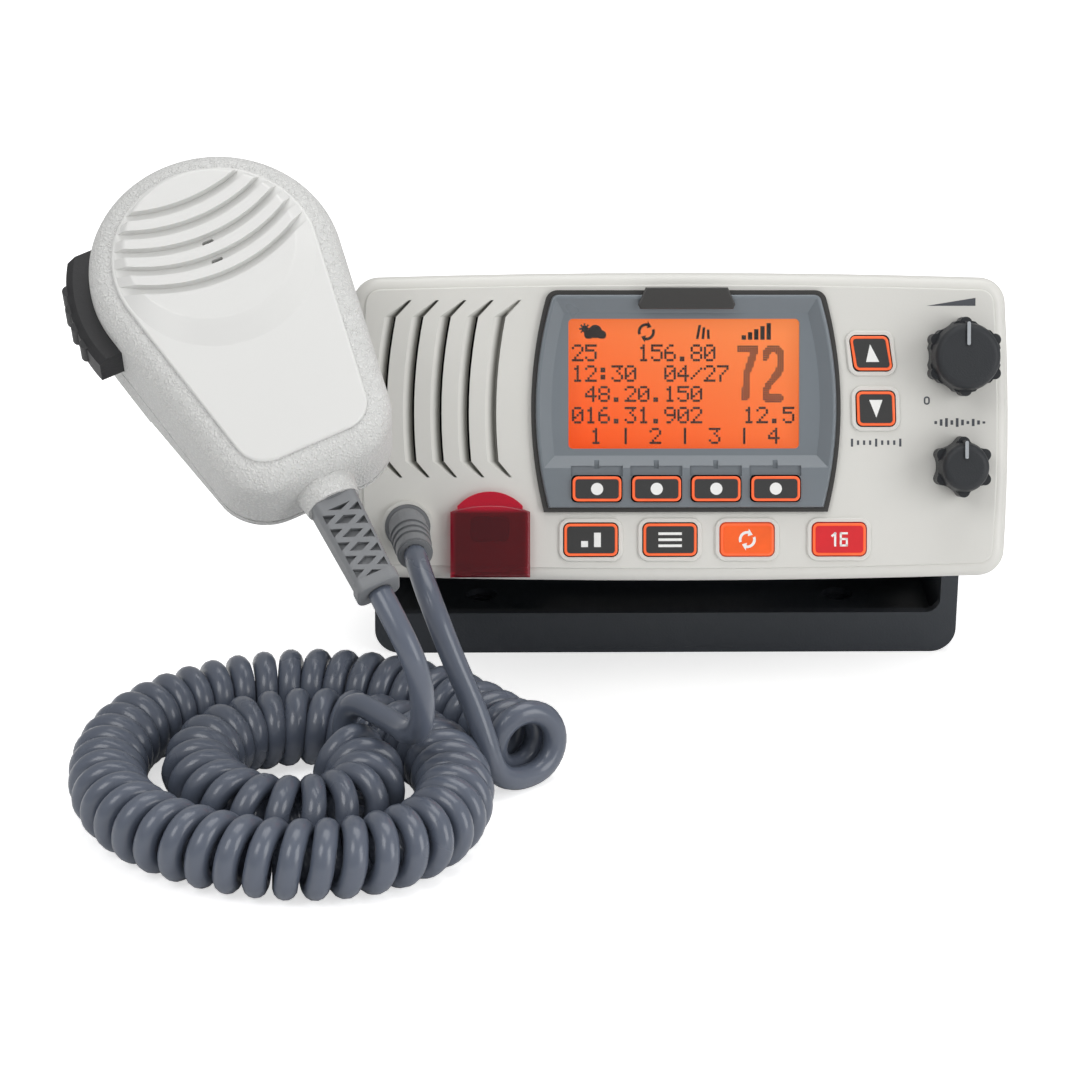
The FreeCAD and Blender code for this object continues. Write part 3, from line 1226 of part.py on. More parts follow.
def make_mic_rear_shell():
    """The back: flat above, sloping to a thinner tail, with two screw posts and a third below."""
    body = new_body("mic_rear_shell", MIC_PLACE)
    seam = "-mic_front_depth-mic_seam"
    back = new_sketch(body, "XZ_Plane", seam)
    mic_outline(back, "0")
    extrude(body, back, "mic_back_depth", reverse=True)
    wedge = new_sketch(body, "YZ_Plane", "-dome_radius-2")
    outline(wedge, [(MIC_BACK, "slope_start"),
                    (f"{MIC_BACK}-slope_drop*1.05", "slope_start-(slope_start-tail_z+tail_radius)*1.05"),
                    (f"{MIC_BACK}+2", "slope_start-(slope_start-tail_z+tail_radius)*1.05"),
                    (f"{MIC_BACK}+2", "slope_start")])
    extrude(body, wedge, "2*dome_radius+4", "Pocket", reverse=True)

    def back_rim(edge):
        box = edge.BoundBox
        upright = box.XLength < 1e-3 and box.ZLength < 1e-3
        return box.YMin > size("mic_front_depth+mic_seam") + 1 and not upright
    dress(body, "Fillet", "mic_back_rounding", back_rim)
    hollow = new_sketch(body, "XZ_Plane", seam)
    mic_outline(hollow, "mic_wall")
    extrude(body, hollow, "mic_back_depth-slope_drop-mic_wall+0.5", "Pocket")
    upper = new_sketch(body, "XZ_Plane", seam)
    dome = "(dome_radius-mic_wall)"
    outline(upper, [
        (f"-{SIDE_X}*{dome}-2.2", "0"), (f"{SIDE_X}*{dome}-2.2", "0"),
        (f"{SIDE_X}*{dome}", f"dome_z+{SIDE_Z}*{dome}", f"{1 - SIDE_Z}*{dome}", dome),
        (f"-{SIDE_X}*{dome}", f"dome_z+{SIDE_Z}*{dome}")])
    extrude(body, upper, "mic_back_depth-mic_wall", "Pocket")
    posts = new_sketch(body, "XZ_Plane", f"-({MIC_BACK})+mic_wall/2")
    for x, z in (("-12", "34"), ("12", "34")):
        circle(posts, x, z, "2.6")
    extrude(body, posts, f"{MIC_BACK}-mic_wall/2-18.7")
    low_post = new_sketch(body, "XZ_Plane", f"{seam}-2")
    circle(low_post, "0", "mic_screw_z", "2.6")
    extrude(body, low_post, "mic_front_depth+mic_seam+2-18.7")
    screws = new_sketch(body, "XZ_Plane", f"-({MIC_BACK})")
    for x, z in (("-12", "34"), ("12", "34")):
        circle(screws, x, z, "2.4")
    extrude(body, screws, "2", "Pocket", reverse=True)
    low_screw = new_sketch(body, "XZ_Plane", f"-({MIC_BACK})")
    circle(low_screw, "0", "mic_screw_z", "2.4")
    extrude(body, low_screw, f"{MIC_BACK}-({SLOPE_AT_SCREW})+2", "Pocket", reverse=True)
    anchor = new_sketch(body, "XZ_Plane", f"-({MIC_BACK})")
    circle(anchor, "0", "stud_z", "2")
    extrude(body, anchor, "mic_wall+1", "Pocket", reverse=True)


make_mic_rear_shell()


def make_mic_gasket():
    body = new_body("mic_gasket", MIC_PLACE)
    ring = new_sketch(body, "XZ_Plane", "-mic_front_depth")
    mic_outline(ring, "0.4")
    extrude(body, ring, "mic_seam", reverse=True)
    hollow = new_sketch(body, "XZ_Plane", "-mic_front_depth")
    mic_outline(hollow, "mic_wall")
    extrude(body, hollow, "mic_seam", "Pocket")


make_mic_gasket()


def make_talk_button():
    body = new_body("ptt_button", MIC_PLACE)
    radius = size("dome_radius+talk_proud")
    ends = [math.sqrt(radius ** 2 - size(f"{end}-dome_z") ** 2) for end in ("talk_low", "talk_high")]
    middle = (size("talk_low") + size("talk_high")) / 2
    half_turn = math.hypot(ends[0] - ends[1], size("talk_high-talk_low")) / 2
    bow = radius - math.sqrt(radius ** 2 - half_turn ** 2)
    side = new_sketch(body, "XZ_Plane", "-talk_middle+talk_depth/2")
    outline(side, [("-talk_inner", "talk_low"), ("-talk_inner", "talk_high"),
                   (f"{-ends[1]}", "talk_high", f"{bow}", "dome_radius+talk_proud"),
                   (f"{-ends[0]}", "talk_low")])
    extrude(body, side, "talk_depth", reverse=True)
    face = size("talk_middle-talk_depth/2")
    dress(body, "Chamfer", "1.8", lies_at("y", face, lambda edge: isinstance(edge.Curve, Part.Circle)))
    grips = new_sketch(body, "XZ_Plane", "-talk_middle+talk_depth/2-1.5")
    for turn in (-12, -4, 4, 12):
        angle = math.atan2(middle - size("dome_z"), -radius) + math.radians(turn)
        circle(grips, f"{math.cos(angle)}*(dome_radius+talk_proud-0.4)",
               f"dome_z+{math.sin(angle)}*(dome_radius+talk_proud-0.4)", "1.5")
    extrude(body, grips, "talk_depth-3", reverse=True)


make_talk_button()
block("mic_board", MIC_PLACE, "0", "4", "36", "64", "-17.5", "1.2", "4")
block("ptt_switch", MIC_PLACE, "-talk_inner+talk_travel+3.4", "(talk_low+talk_high)/2", "6", "8",
      "-talk_middle+3", "17.5-talk_middle+3", "0.6")
turned("mic_element", at(MIC_PLACE, "0", "mic_wall+0.1", "mic_louvre_z-2.5*mic_louvre_pitch"), [
    ("0", "0"), ("4.85", "0"), ("4.85", "4"), ("0", "4")])
turned("mic_stud", at(MIC_PLACE, "0", MIC_BACK, "stud_z"), [
    ("0", "-mic_wall-1"), ("2", "-mic_wall-1"), ("2", "0"), ("stud_shank", "0"),
    ("stud_shank", "hanger_thick+0.6"), ("stud_head", "hanger_thick+0.6"),
    ("stud_head", "hanger_thick+2.6"), ("stud_head-1", "hanger_thick+3.4"),
    ("0", "hanger_thick+3.4")])
RELIEF_PLACE = at(MIC_PLACE, "0", "relief_depth", "tail_z-tail_radius") * Placement(
    Vector(), Rotation(Vector(1, 0, 0), -90))


def lattice(sketch):
    """The openings between crossed bars: diamonds down the middle, triangles at the sides."""
    first = size("mic_boss_length+relief_collar")
    cell = (size("relief_length-2*relief_collar")) / size("lattice_cells")
    count = int(size("lattice_cells"))
    for number in range(count + 1):
        line = first + number * cell
        half = size("lattice_half") + (count / 2 - number) * cell * math.tan(
            math.radians(size("relief_draft")))
        slope = math.atan2(cell / 2, half)
        across = half - size("lattice_bar") / 2 / math.sin(slope)
        along = cell / 2 - size("lattice_bar") / 2 / math.cos(slope)
        above = 0 if number == 0 else along
        below = 0 if number == count else along
        corners = [(-across, line), (0, line - above), (across, line), (0, line + below)]
        kept = [corner for corner in corners if corner[0] or corner[1] != line]
        outline(sketch, [(f"{x:.4f}", f"{y:.4f}") for x, y in kept])
        if number == count:
            continue
        for side in (-1, 1):
            reach = size("lattice_bar") / 2 / math.sin(slope)
            rise = cell / 2 - size("lattice_bar") / 2 / math.cos(slope)
            middle = line + cell / 2
            points = [(side * reach, middle), (side * (half - 0.1), middle - rise),
                      (side * (half - 0.1), middle + rise)]
            outline(sketch, [(f"{x:.4f}", f"{y:.4f}") for x, y in points])


def make_mic_relief():
    """A square-sided relief, latticed front and back, with its round root in the shell."""
    body = new_body("mic_relief", RELIEF_PLACE)
    root = new_sketch(body, "XY_Plane")
    outline(root, [
        ("0", "-mic_wall-2"), ("relief_top+1.4", "-mic_wall-2"), ("relief_top+1.4", "-mic_wall-0.1"),
        ("relief_top", "-mic_wall-0.1"), ("relief_top", "mic_boss_length+0.4"),
        ("0", "mic_boss_length+0.4")])
    spin(body, root)
    shaft = new_sketch(body, "XZ_Plane", "-mic_boss_length-0.1")
    rounded(shaft, "0", "0", "relief_width", "relief_thick", "2.4")
    extrude(body, shaft, "relief_length-0.1", "Pad", reverse=True, taper="-relief_draft")
    for plane, away in (("-relief_thick/2-1", True), ("relief_thick/2+1", False)):
        openings = new_sketch(body, "XY_Plane", plane)
        lattice(openings)
        extrude(body, openings, "1+lattice_depth", "Pocket", reverse=away)
    collar = new_sketch(body, "XZ_Plane", "-mic_boss_length-relief_length+relief_collar")
    rounded(collar, "0", "0", "relief_width-0.5", "relief_thick-0.5", "2.4")
    extrude(body, collar, "relief_collar", "Pad", reverse=True)
    dress(body, "Fillet", "0.7", lies_at("y", size("mic_boss_length+relief_length")))


make_mic_relief()


def make_mic_screws():
    body = doc.addObject("Part::Feature", "mic_screws")
    body.Label = "mic_screws"
    solids = []
    low = size("mic_screw_z")
    for x, z in ((-12, 34), (12, 34), (0, low)):
        floor = size(SLOPE_AT_SCREW if z == low else MIC_BACK) - 2
        head = Part.makeCylinder(2.3, 1.6, Vector(x, floor, z), Vector(0, 1, 0))
        socket = Part.makeCylinder(1, 1, Vector(x, floor + 0.8, z), Vector(0, 1, 0))
        solids.append(head.cut(socket))
    body.Shape = Part.makeCompound(solids)
    body.Placement = MIC_PLACE
    SUBPARTS.append(body)


make_mic_screws()


# ---------------------------------------------------------------- free routes: cord and hanger rod
def routed_tube(points, radius, report=None):
    """A round tube along straight runs joined by tangent arcs."""
    points = [Vector(*point) for point in points]
    runs = [(b - a).Length for a, b in zip(points, points[1:])]
    edges = []
    last = points[0]
    radii = []
    for before, corner, after, run_in, run_out in zip(
            points, points[1:], points[2:], runs, runs[1:]):
        toward, away = (corner - before).normalize(), (after - corner).normalize()
        turn = toward.getAngle(away)
        reach = 0.45 * min(run_in, run_out)
        bend = reach / math.tan(turn / 2)
        radii.append(bend)
        start, stop = corner - toward * reach, corner + away * reach
        inward = (away - toward).normalize()
        to_centre = bend / math.cos(turn / 2)
        middle = corner + inward * (to_centre - bend)
        edges.append(Part.LineSegment(last, start).toShape())
        edges.append(Part.Arc(start, middle, stop).toShape())
        last = stop
    edges.append(Part.LineSegment(last, points[-1]).toShape())
    path = Part.Wire(edges)
    section = Part.Wire(Part.Circle(points[0], points[1] - points[0], radius).toShape())
    tube = path.makePipeShell([section], True, False)
    expected = math.pi * radius ** 2 * path.Length
    if report:
        print(f"{report}: length {path.Length:.1f}, volume {tube.Volume / expected:.4f} of section"
              f" x length, bend radii {' '.join(f'{bend:.0f}' for bend in radii)}")
    return tube


LEAD_RADIO = [(-70, -82.3, 55.1), (-68.5, -93.1, 53.8), (-64.6, -101.3, 45.8),
              (-60.2, -105.6, 35.3), (-55.4, -108.8, 25), (-50.9, -111.2, 16),
              (-46.5, -111.5, 7.5), (-40, -107.5, 3.4)]
LEAD_MIC = [(-73.9, -147.4, 62.8), (-69.6, -149.8, 53.5), (-68, -146.5, 43), (-69, -139.5, 32.5),
            (-73.5, -130.8, 24.5), (-81.5, -123, 21.5), (-90, -115.5, 19.5)]
CURL = [(-40, -106), (-50, -90), (-64, -76), (-82, -68), (-101, -65.5), (-120, -71), (-136, -82),
        (-146, -98), (-149, -117), (-146, -136), (-135, -152), (-118, -163), (-99, -168),
        (-80, -165), (-66, -154), (-60, -138), (-60.5, -121), (-66, -106), (-77, -96),
        (-92, -91), (-108, -92), (-121, -101), (-126, -116), (-121, -131), (-111, -142),
        (-97, -144), (-84, -137), (-81.5, -124, 11), (-88, -114, 13), (-98, -111, 15.5)]


def free_solid(name, shape, place=WORLD):
    body = doc.addObject("Part::Feature", name)
    body.Label = name
    body.Shape = shape
    body.Placement = place
    SUBPARTS.append(body)


def make_cord():
    lead, curl = size("lead_radius"), size("curl_radius")
    tip = MIC_PLACE.multVec(Vector(0, size("relief_depth"),
                                   size("tail_z-tail_radius-mic_boss_length-relief_length-0.1")))
    free_solid("cord_lead_radio", routed_tube(LEAD_RADIO, lead, "radio lead"))
    free_solid("cord_lead_mic", routed_tube([tuple(tip)] + LEAD_MIC, lead, "microphone lead"))
    route = [(point[0], point[1], point[2] if len(point) == 3 else curl) for point in CURL]
    free_solid("cord_curl", routed_tube(route, curl, "curly cord"))


make_cord()


def make_radio_relief():
    """The bent, ribbed relief that turns the lead down as it leaves the face."""
    base = Vector(size("gland_x"), -size("face_ahead-face_wall"), size("gland_z"))
    bend = Vector(base.x, -size("face_ahead+gland_proud+1.2"), base.z)
    tip = SET_PLACE.inverse().multVec(Vector(*LEAD_RADIO[0]))
    axis = (tip - bend).normalize()
    tip = tip - axis * 0.1
    plug, neck, narrow = size("gland_hole-0.1"), size("gland_hole-1"), size("relief_tip-0.3")
    solid = Part.makeCylinder(plug, size("face_wall+gland_proud+0.3"), base, Vector(0, -1, 0))
    solid = solid.fuse(Part.makeCylinder(neck, (base - bend).Length, base, Vector(0, -1, 0)))
    solid = solid.fuse(Part.makeSphere(neck, bend))
    solid = solid.fuse(Part.makeCone(neck, narrow, (tip - bend).Length, bend, axis))
    for share in (0.3, 0.48, 0.66):
        middle = bend + (tip - bend) * share
        radius = neck + (narrow - neck) * share + 0.5
        solid = solid.fuse(Part.makeCylinder(radius, 1.4, middle - axis * 0.7, axis))
    solid = solid.fuse(Part.makeCylinder(narrow + 0.5, 3, tip - axis * 3.4, axis))
    inner = Part.makeCylinder(plug + 1.1, 1.6, base + Vector(0, 0.05, 0), Vector(0, 1, 0))
    free_solid("radio_relief", solid.fuse(inner).removeSplitter(), SET_PLACE)


make_radio_relief()


def make_hanger():
    """An eye under the left clamp knob, a bent rod and the slotted plate for the stud."""
    thick = size("hanger_thick")
    side = -size("bracket_width") / 2
    centre = Vector(side - thick, 0, size("pivot_height"))
    eye = Part.makeCylinder(10.5, thick, centre, Vector(1, 0, 0))
    strap = Part.makeBox(thick, 18, 10, centre - Vector(0, 18, 4))
    hole = Part.makeCylinder(size("stud_radius+running_gap+0.03"), thick + 2,
                             centre - Vector(1, 0, 0), Vector(1, 0, 0))
    front = size(MIC_BACK) + 0.3
    plate = Part.makeBox(26, thick, 33, Vector(-13, front, -9))
    slot = Part.makeCylinder(size("stud_shank+0.1"), thick + 2, Vector(0, front - 1, size("stud_z")),
                             Vector(0, 1, 0))
    mouth = Part.makeBox(2 * size("stud_shank+0.1"), thick + 2, 30,
                         Vector(-size("stud_shank+0.1"), front - 1, size("stud_z")))
    upright = [edge for edge in plate.Edges if abs(edge.BoundBox.YLength - thick) < 1e-3]
    plate = plate.makeFillet(4, upright).cut(slot.fuse(mouth))
    plate.Placement = MIC_PLACE
    foot = MIC_PLACE.multVec(Vector(0, front + thick / 2, -3))
    behind = MIC_PLACE.multVec(Vector(2, front + thick + 14, -8))
    rod = routed_tube([(side - 2.7, -15, 61), (side - 2.7, -20, 63),
                       (side - 10.5, -28, 67), (side - 13.5, -43, 74), tuple(behind), tuple(foot)],
                      size("hanger_rod"), "hanger rod")
    ball = Part.makeCylinder(size("hanger_rod+1.4"), thick + 1.5, MIC_PLACE.multVec(
        Vector(0, front + thick - 0.5, -3)), MIC_PLACE.Rotation.multVec(Vector(0, 1, 0)))
    solid = eye.fuse([strap, plate, rod, ball]).cut(hole)
    free_solid("mic_hanger", solid.removeSplitter())


make_hanger()

# ---------------------------------------------------------------- check and write
doc.recompute()
for item in doc.Objects:
    if "Invalid" in item.State or "Error" in item.State:
        raise RuntimeError(f"{item.Label} did not compute: {item.State}")
os.makedirs("parts", exist_ok=True)
for subpart in SUBPARTS:
    shape = subpart.Shape
    if shape.isNull() or not shape.isValid() or not shape.Solids:
        raise RuntimeError(f"{subpart.Label} has no valid solid")
    shape.exportStep(f"parts/{subpart.Label}.step")
print(len(SUBPARTS), "sub-parts")
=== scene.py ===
"""Looks of a fixed-mount marine radio with its fist microphone on a curly cord."""
import json
import math

import bmesh
import bpy
from mathutils import Matrix, Vector


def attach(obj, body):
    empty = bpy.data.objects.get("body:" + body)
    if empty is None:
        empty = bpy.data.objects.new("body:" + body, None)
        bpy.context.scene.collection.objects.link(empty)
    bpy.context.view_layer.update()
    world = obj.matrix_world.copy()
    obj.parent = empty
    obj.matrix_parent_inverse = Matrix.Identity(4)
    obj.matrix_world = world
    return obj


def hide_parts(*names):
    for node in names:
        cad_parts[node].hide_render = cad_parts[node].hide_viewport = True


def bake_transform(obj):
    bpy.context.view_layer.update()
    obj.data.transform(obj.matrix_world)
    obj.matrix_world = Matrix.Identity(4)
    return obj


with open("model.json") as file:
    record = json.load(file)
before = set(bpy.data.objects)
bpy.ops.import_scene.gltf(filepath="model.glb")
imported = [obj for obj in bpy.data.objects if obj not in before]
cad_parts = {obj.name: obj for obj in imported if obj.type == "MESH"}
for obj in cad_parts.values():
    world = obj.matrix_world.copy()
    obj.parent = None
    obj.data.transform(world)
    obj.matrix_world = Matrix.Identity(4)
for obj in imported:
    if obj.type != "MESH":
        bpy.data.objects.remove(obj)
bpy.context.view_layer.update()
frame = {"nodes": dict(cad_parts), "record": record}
nodes = frame["nodes"]
scene = bpy.context.scene
MM = 0.001

# Everything on the set is drawn about its tilt pivot, face towards -Y; the microphone about the
# middle of its front face.
SET_FRAME = Matrix.Translation((0, 0, 0.06)) @ Matrix.Rotation(math.radians(-20), 4, "X")
MIC_FRAME = (Matrix.Translation((-0.111, -0.1, 0.125))
             @ Matrix.Rotation(math.radians(-47.4), 4, "X")
             @ Matrix.Rotation(math.radians(-25.7), 4, "Y"))
FACE = 60                   # the face, in front of the tilt pivot
BEZEL = 62.4                # front of the display bezel
KEY_STEP = 1.3              # key caps in front of what is round them
RIM_STEP = 0.35             # a cap in front of its lit rim
PRINT = 0.03                # half the thickness of printed ink
SCREEN_PRINT = 0.012        # half the thickness of the display's marks
KEY_CORNER = 1.4            # corner radius of a key
WHITE = (1, 1, 1, 1)


# ------------------------------------------------------------------ camera
camera_data = bpy.data.cameras.new("camera")
camera_data.lens = 126.33
camera_data.sensor_width = 36
camera = bpy.data.objects.new("camera", camera_data)
CAMERA_PLACE = (-0.06934872, -0.98981, 0.43521385)
HEADING, RISE, ROLL = -2, 67.5, 0.64            # degrees
camera.matrix_world = (Matrix.Translation(CAMERA_PLACE)
                       @ Matrix.Rotation(math.radians(HEADING), 4, "Z")
                       @ Matrix.Rotation(math.radians(RISE), 4, "X")
                       @ Matrix.Rotation(math.radians(ROLL), 4, "Z"))
scene.collection.objects.link(camera)
scene.camera = camera


def tone(text):
    """A hex colour as linear values."""
    parts = [int(text[i:i + 2], 16) / 255 for i in (0, 2, 4)]
    return tuple(v / 12.92 if v < 0.04045 else ((v + 0.055) / 1.055) ** 2.4 for v in parts) + (1,)


# ------------------------------------------------------------------ shared surface effects
def new_effect(name, inputs, outputs):
    """An empty shader group with its sockets."""
    tree = bpy.data.node_groups.new(name, "ShaderNodeTree")
    for label, value in inputs:
        socket = tree.interface.new_socket(label, in_out="INPUT", socket_type="NodeSocketFloat")
        socket.default_value = value
    for label in outputs:
        tree.interface.new_socket(label, in_out="OUTPUT", socket_type="NodeSocketFloat")
    return tree, tree.nodes.new("NodeGroupInput").outputs, tree.nodes.new("NodeGroupOutput").inputs


def add(tree, kind, links=None, **settings):
    """A node with its settings and its input links or values."""
    made = tree.nodes.new(kind)
    for key, value in settings.items():
        setattr(made, key, value)
    for socket, source in (links or {}).items():
        if isinstance(source, bpy.types.NodeSocket):
            tree.links.new(source, made.inputs[socket])
        else:
            made.inputs[socket].default_value = source
    return made


def mould_grain():
    """Spark-eroded mould texture: a height for the bump and soft blotches for colour and gloss."""
    tree, given, out = new_effect("mould_grain", [("Scale", 900.0), ("Blotch Scale", 30.0)],
                                  ["Height", "Blotch"])
    place = add(tree, "ShaderNodeTexCoord").outputs["Object"]
    fine = add(tree, "ShaderNodeTexNoise", {"Vector": place, "Scale": given["Scale"],
                                           "Detail": 3.0, "Roughness": 0.6})
    broad = add(tree, "ShaderNodeTexNoise", {"Vector": place, "Scale": given["Blotch Scale"],
                                            "Detail": 4.0, "Roughness": 0.55})
    tree.links.new(fine.outputs["Fac"], out["Height"])
    tree.links.new(broad.outputs["Fac"], out["Blotch"])
    return tree


def pebble_skin():
    """Rounded pebbles side by side, as a height that is 0 in the seams between them."""
    tree, given, out = new_effect("pebble_skin", [("Scale", 1100.0)], ["Height"])
    place = add(tree, "ShaderNodeTexCoord").outputs["Object"]
    bend = add(tree, "ShaderNodeTexNoise", {"Vector": place, "Scale": 500.0, "Detail": 1.0})
    shifted = add(tree, "ShaderNodeMix", {"Factor": 0.0012, "A": place,
                                          "B": bend.outputs["Color"]}, data_type="VECTOR")
    cells = add(tree, "ShaderNodeTexVoronoi", {"Vector": shifted.outputs["Result"],
                                              "Scale": given["Scale"]}, feature="SMOOTH_F1")
    cells.inputs["Smoothness"].default_value = 0.5
    dome = add(tree, "ShaderNodeMapRange", {"Value": cells.outputs["Distance"], "From Min": 0.0,
                                            "From Max": 0.6, "To Min": 1.0, "To Max": 0.0})
    tree.links.new(dome.outputs["Result"], out["Height"])
    return tree


GRAIN = mould_grain()
PEBBLE = pebble_skin()


def new_material(name):
    made = bpy.data.materials.new(name)
    made.use_nodes = True
    tree = made.node_tree
    return made, tree, tree.nodes["Principled BSDF"]


def effect_in(tree, group, **values):
    placed = add(tree, "ShaderNodeGroup", node_tree=group)
    for label, value in values.items():
        placed.inputs[label.replace("_", " ")].default_value = value
    return placed.outputs


def mixed(tree, share, first, second):
    """A colour between two, by a share of the second."""
    mix = add(tree, "ShaderNodeMix", {"Factor": share}, data_type="RGBA")
    for label, source in (("A", first), ("B", second)):
        if isinstance(source, bpy.types.NodeSocket):
            tree.links.new(source, mix.inputs[label])
        else:
            mix.inputs[label].default_value = source
    return mix.outputs["Result"]


def ranged(tree, value, low, high, at_low=0.0, at_high=1.0):
    """A value stretched from one range to another, held at the ends."""
    return add(tree, "ShaderNodeMapRange", {"Value": value, "From Min": low, "From Max": high,
                                            "To Min": at_low, "To Max": at_high}).outputs["Result"]


def place_in(tree, home):
    """Where a point lies in the set's or the microphone's own frame, in millimetres."""
    back = home.inverted()
    turn = back.to_euler()
    spot = add(tree, "ShaderNodeMapping", {
        "Vector": add(tree, "ShaderNodeTexCoord").outputs["Object"],
        "Scale": (1000, 1000, 1000), "Rotation": turn, "Location": back.translation * 1000})
    return add(tree, "ShaderNodeSeparateXYZ", {"Vector": spot.outputs["Vector"]}).outputs


def both(tree, first, second, operation="MULTIPLY"):
    """Two values put together, as a share of a share unless told otherwise."""
    return add(tree, "ShaderNodeMath", {0: first, 1: second}, operation=operation).outputs[0]


def off_middle(tree, value, middle):
    """How far a coordinate lies from a middle, either way."""
    return add(tree, "ShaderNodeMath", {0: both(tree, value, -middle, "ADD")},
               operation="ABSOLUTE").outputs[0]


def moulded(name, colour, roughness=0.45, grain=900.0, depth=0.00003, variation=0.06, spread=0.12,
            metallic=0.0, coat=0.0, dress=None):
    """A moulded or coated material: fine grain, soft blotches in colour and gloss."""
    made, tree, shader = new_material(name)
    effect = effect_in(tree, GRAIN, Scale=grain)
    darker = tuple(v * (1 - variation) for v in colour[:3]) + (1,)
    lighter = tuple(min(1, v * (1 + variation)) for v in colour[:3]) + (1,)
    paint = mixed(tree, effect["Blotch"], darker, lighter)
    gloss = ranged(tree, effect["Blotch"], 0.3, 0.7, roughness - spread / 2, roughness + spread / 2)
    height = effect["Height"]
    if dress:
        paint, gloss, height, depth = dress(tree, paint, gloss, height, depth)
    tree.links.new(paint, shader.inputs["Base Color"])
    tree.links.new(gloss, shader.inputs["Roughness"])
    bump = add(tree, "ShaderNodeBump", {"Height": height, "Distance": depth, "Strength": 1.0})
    tree.links.new(bump.outputs["Normal"], shader.inputs["Normal"])
    shader.inputs["Metallic"].default_value = metallic
    shader.inputs["Coat Weight"].default_value = coat
    return made


def pebbled_rim(tree, paint, gloss, height, depth):
    """The microphone's rim and back carry a pebble skin, with painted shade in the seams between
    pebbles; its raised panel is smooth.
    """
    rim = ranged(tree, place_in(tree, MIC_FRAME)["Y"], -0.7, -0.3)
    pebbles = effect_in(tree, PEBBLE, Scale=1500)["Height"]
    seam_shade = ranged(tree, pebbles, 0.1, 0.5, 0.3, 0.0)
    # painted shade: the seams between the pebbles are mixed towards a darker grey
    paint = mixed(tree, both(tree, seam_shade, rim), paint, tone("A9AAAA"))
    gloss = mixed_value(tree, rim, gloss, 0.55)
    return paint, gloss, both(tree, pebbles, rim), 0.0003


def mixed_value(tree, share, first, second):
    """A value between two, by a share of the second."""
    mix = add(tree, "ShaderNodeMix", {"Factor": share, "B": second}, data_type="FLOAT")
    tree.links.new(first, mix.inputs["A"])
    return mix.outputs["Result"]


# Where the painted shade in the loudspeaker's louvres lies, in the set's frame, as the two ends of
# each soft edge.
LOUVRE_FRONT, LOUVRE_BACK = (-59.55, -58.3), (-57.9, -57.6)
GRILLE_LEFT, GRILLE_RIGHT = (-83.5, -82.5), (-46.0, -45.0)
GRILLE_MIDDLE, GRILLE_REACH = 10.0, (25.0, 26.0)


def painted_louvre_shade(tree, paint, gloss, height, depth):
    """The face is smooth; the deep side of each louvre of the loudspeaker grille is painted darker,
    as painted shade.
    """
    spot = place_in(tree, SET_FRAME)
    deep = ranged(tree, spot["Y"], *LOUVRE_FRONT)
    across = ranged(tree, spot["X"], *GRILLE_RIGHT, 1.0, 0.0)
    behind = ranged(tree, spot["Y"], *LOUVRE_BACK, 1.0, 0.0)
    inside = ranged(tree, off_middle(tree, spot["Z"], GRILLE_MIDDLE), *GRILLE_REACH, 1.0, 0.0)
    left = ranged(tree, spot["X"], *GRILLE_LEFT)
    share = both(tree, both(tree, both(tree, deep, across), both(tree, inside, left)), behind)
    # painted shade: deep in the louvres the face's colour is mixed towards a dark grey
    return mixed(tree, share, paint, tone("7F7E78")), gloss, height, depth


def swept_cord(tree, paint, gloss, height, depth):
    """Extruded jacket: soft scuffs, and lighter grey speckles low on the turns, where they meet the
    floor.
    """
    low = add(tree, "ShaderNodeSeparateXYZ", {
        "Vector": add(tree, "ShaderNodeTexCoord").outputs["Object"]}).outputs["Z"]
    low_speckle = both(tree, ranged(tree, low, 0.0, 0.006, 0.5, 0.0), height)
    return mixed(tree, low_speckle, paint, tone("8B909A")), gloss, height, depth


# The screen in the set's frame: its middle, and the two ends of its shaded edges.
SCREEN_X, SCREEN_Z = 0.9, 11.4
SCREEN_SIDES, SCREEN_ENDS = (26.5, 30.6), (13.5, 17.3)
AMBER_DEEP, AMBER_LIGHT = (0.94, 0.075, 0.002, 1), (0.97, 0.27, 0.08, 1)
AMBER_EDGE_SHADE, AMBER_BLOTCH = (0.42, 0.035, 0.008, 1), (1.0, 0.3, 0.08, 1)


def lit_display(name):
    """The back-lit screen: deep amber at the lower left, lighter to the upper right, with painted
    shade along its edges.
    """
    made, tree, shader = new_material(name)
    spot = place_in(tree, SET_FRAME)
    effect = effect_in(tree, GRAIN, Scale=300.0, Blotch_Scale=25.0)
    up = ranged(tree, both(tree, both(tree, spot["Z"], 1.3), both(tree, spot["X"], 0.6), "ADD"),
                -24, 52)
    glow = mixed(tree, up, AMBER_DEEP, AMBER_LIGHT)
    inner = both(tree,
                 ranged(tree, off_middle(tree, spot["X"], SCREEN_X), *SCREEN_SIDES, 1.0, 0.0),
                 ranged(tree, off_middle(tree, spot["Z"], SCREEN_Z), *SCREEN_ENDS, 1.0, 0.0))
    # painted shade: the glow is mixed towards a dark amber near the screen's edges
    glow = mixed(tree, ranged(tree, inner, 0.0, 1.0, 0.16, 0.0), glow, AMBER_EDGE_SHADE)
    glow = mixed(tree, ranged(tree, effect["Blotch"], 0.3, 0.7, 0.0, 0.06), glow, AMBER_BLOTCH)
    tree.links.new(glow, shader.inputs["Emission Color"])
    tree.links.new(mixed(tree, 0.92, glow, (0.01, 0.005, 0.004, 1)), shader.inputs["Base Color"])
    tree.links.new(ranged(tree, effect["Blotch"], 0, 1, 0.5, 0.6), shader.inputs["Roughness"])
    shader.inputs["Specular IOR Level"].default_value = 0.1
    shader.inputs["Emission Strength"].default_value = 0.9
    return made


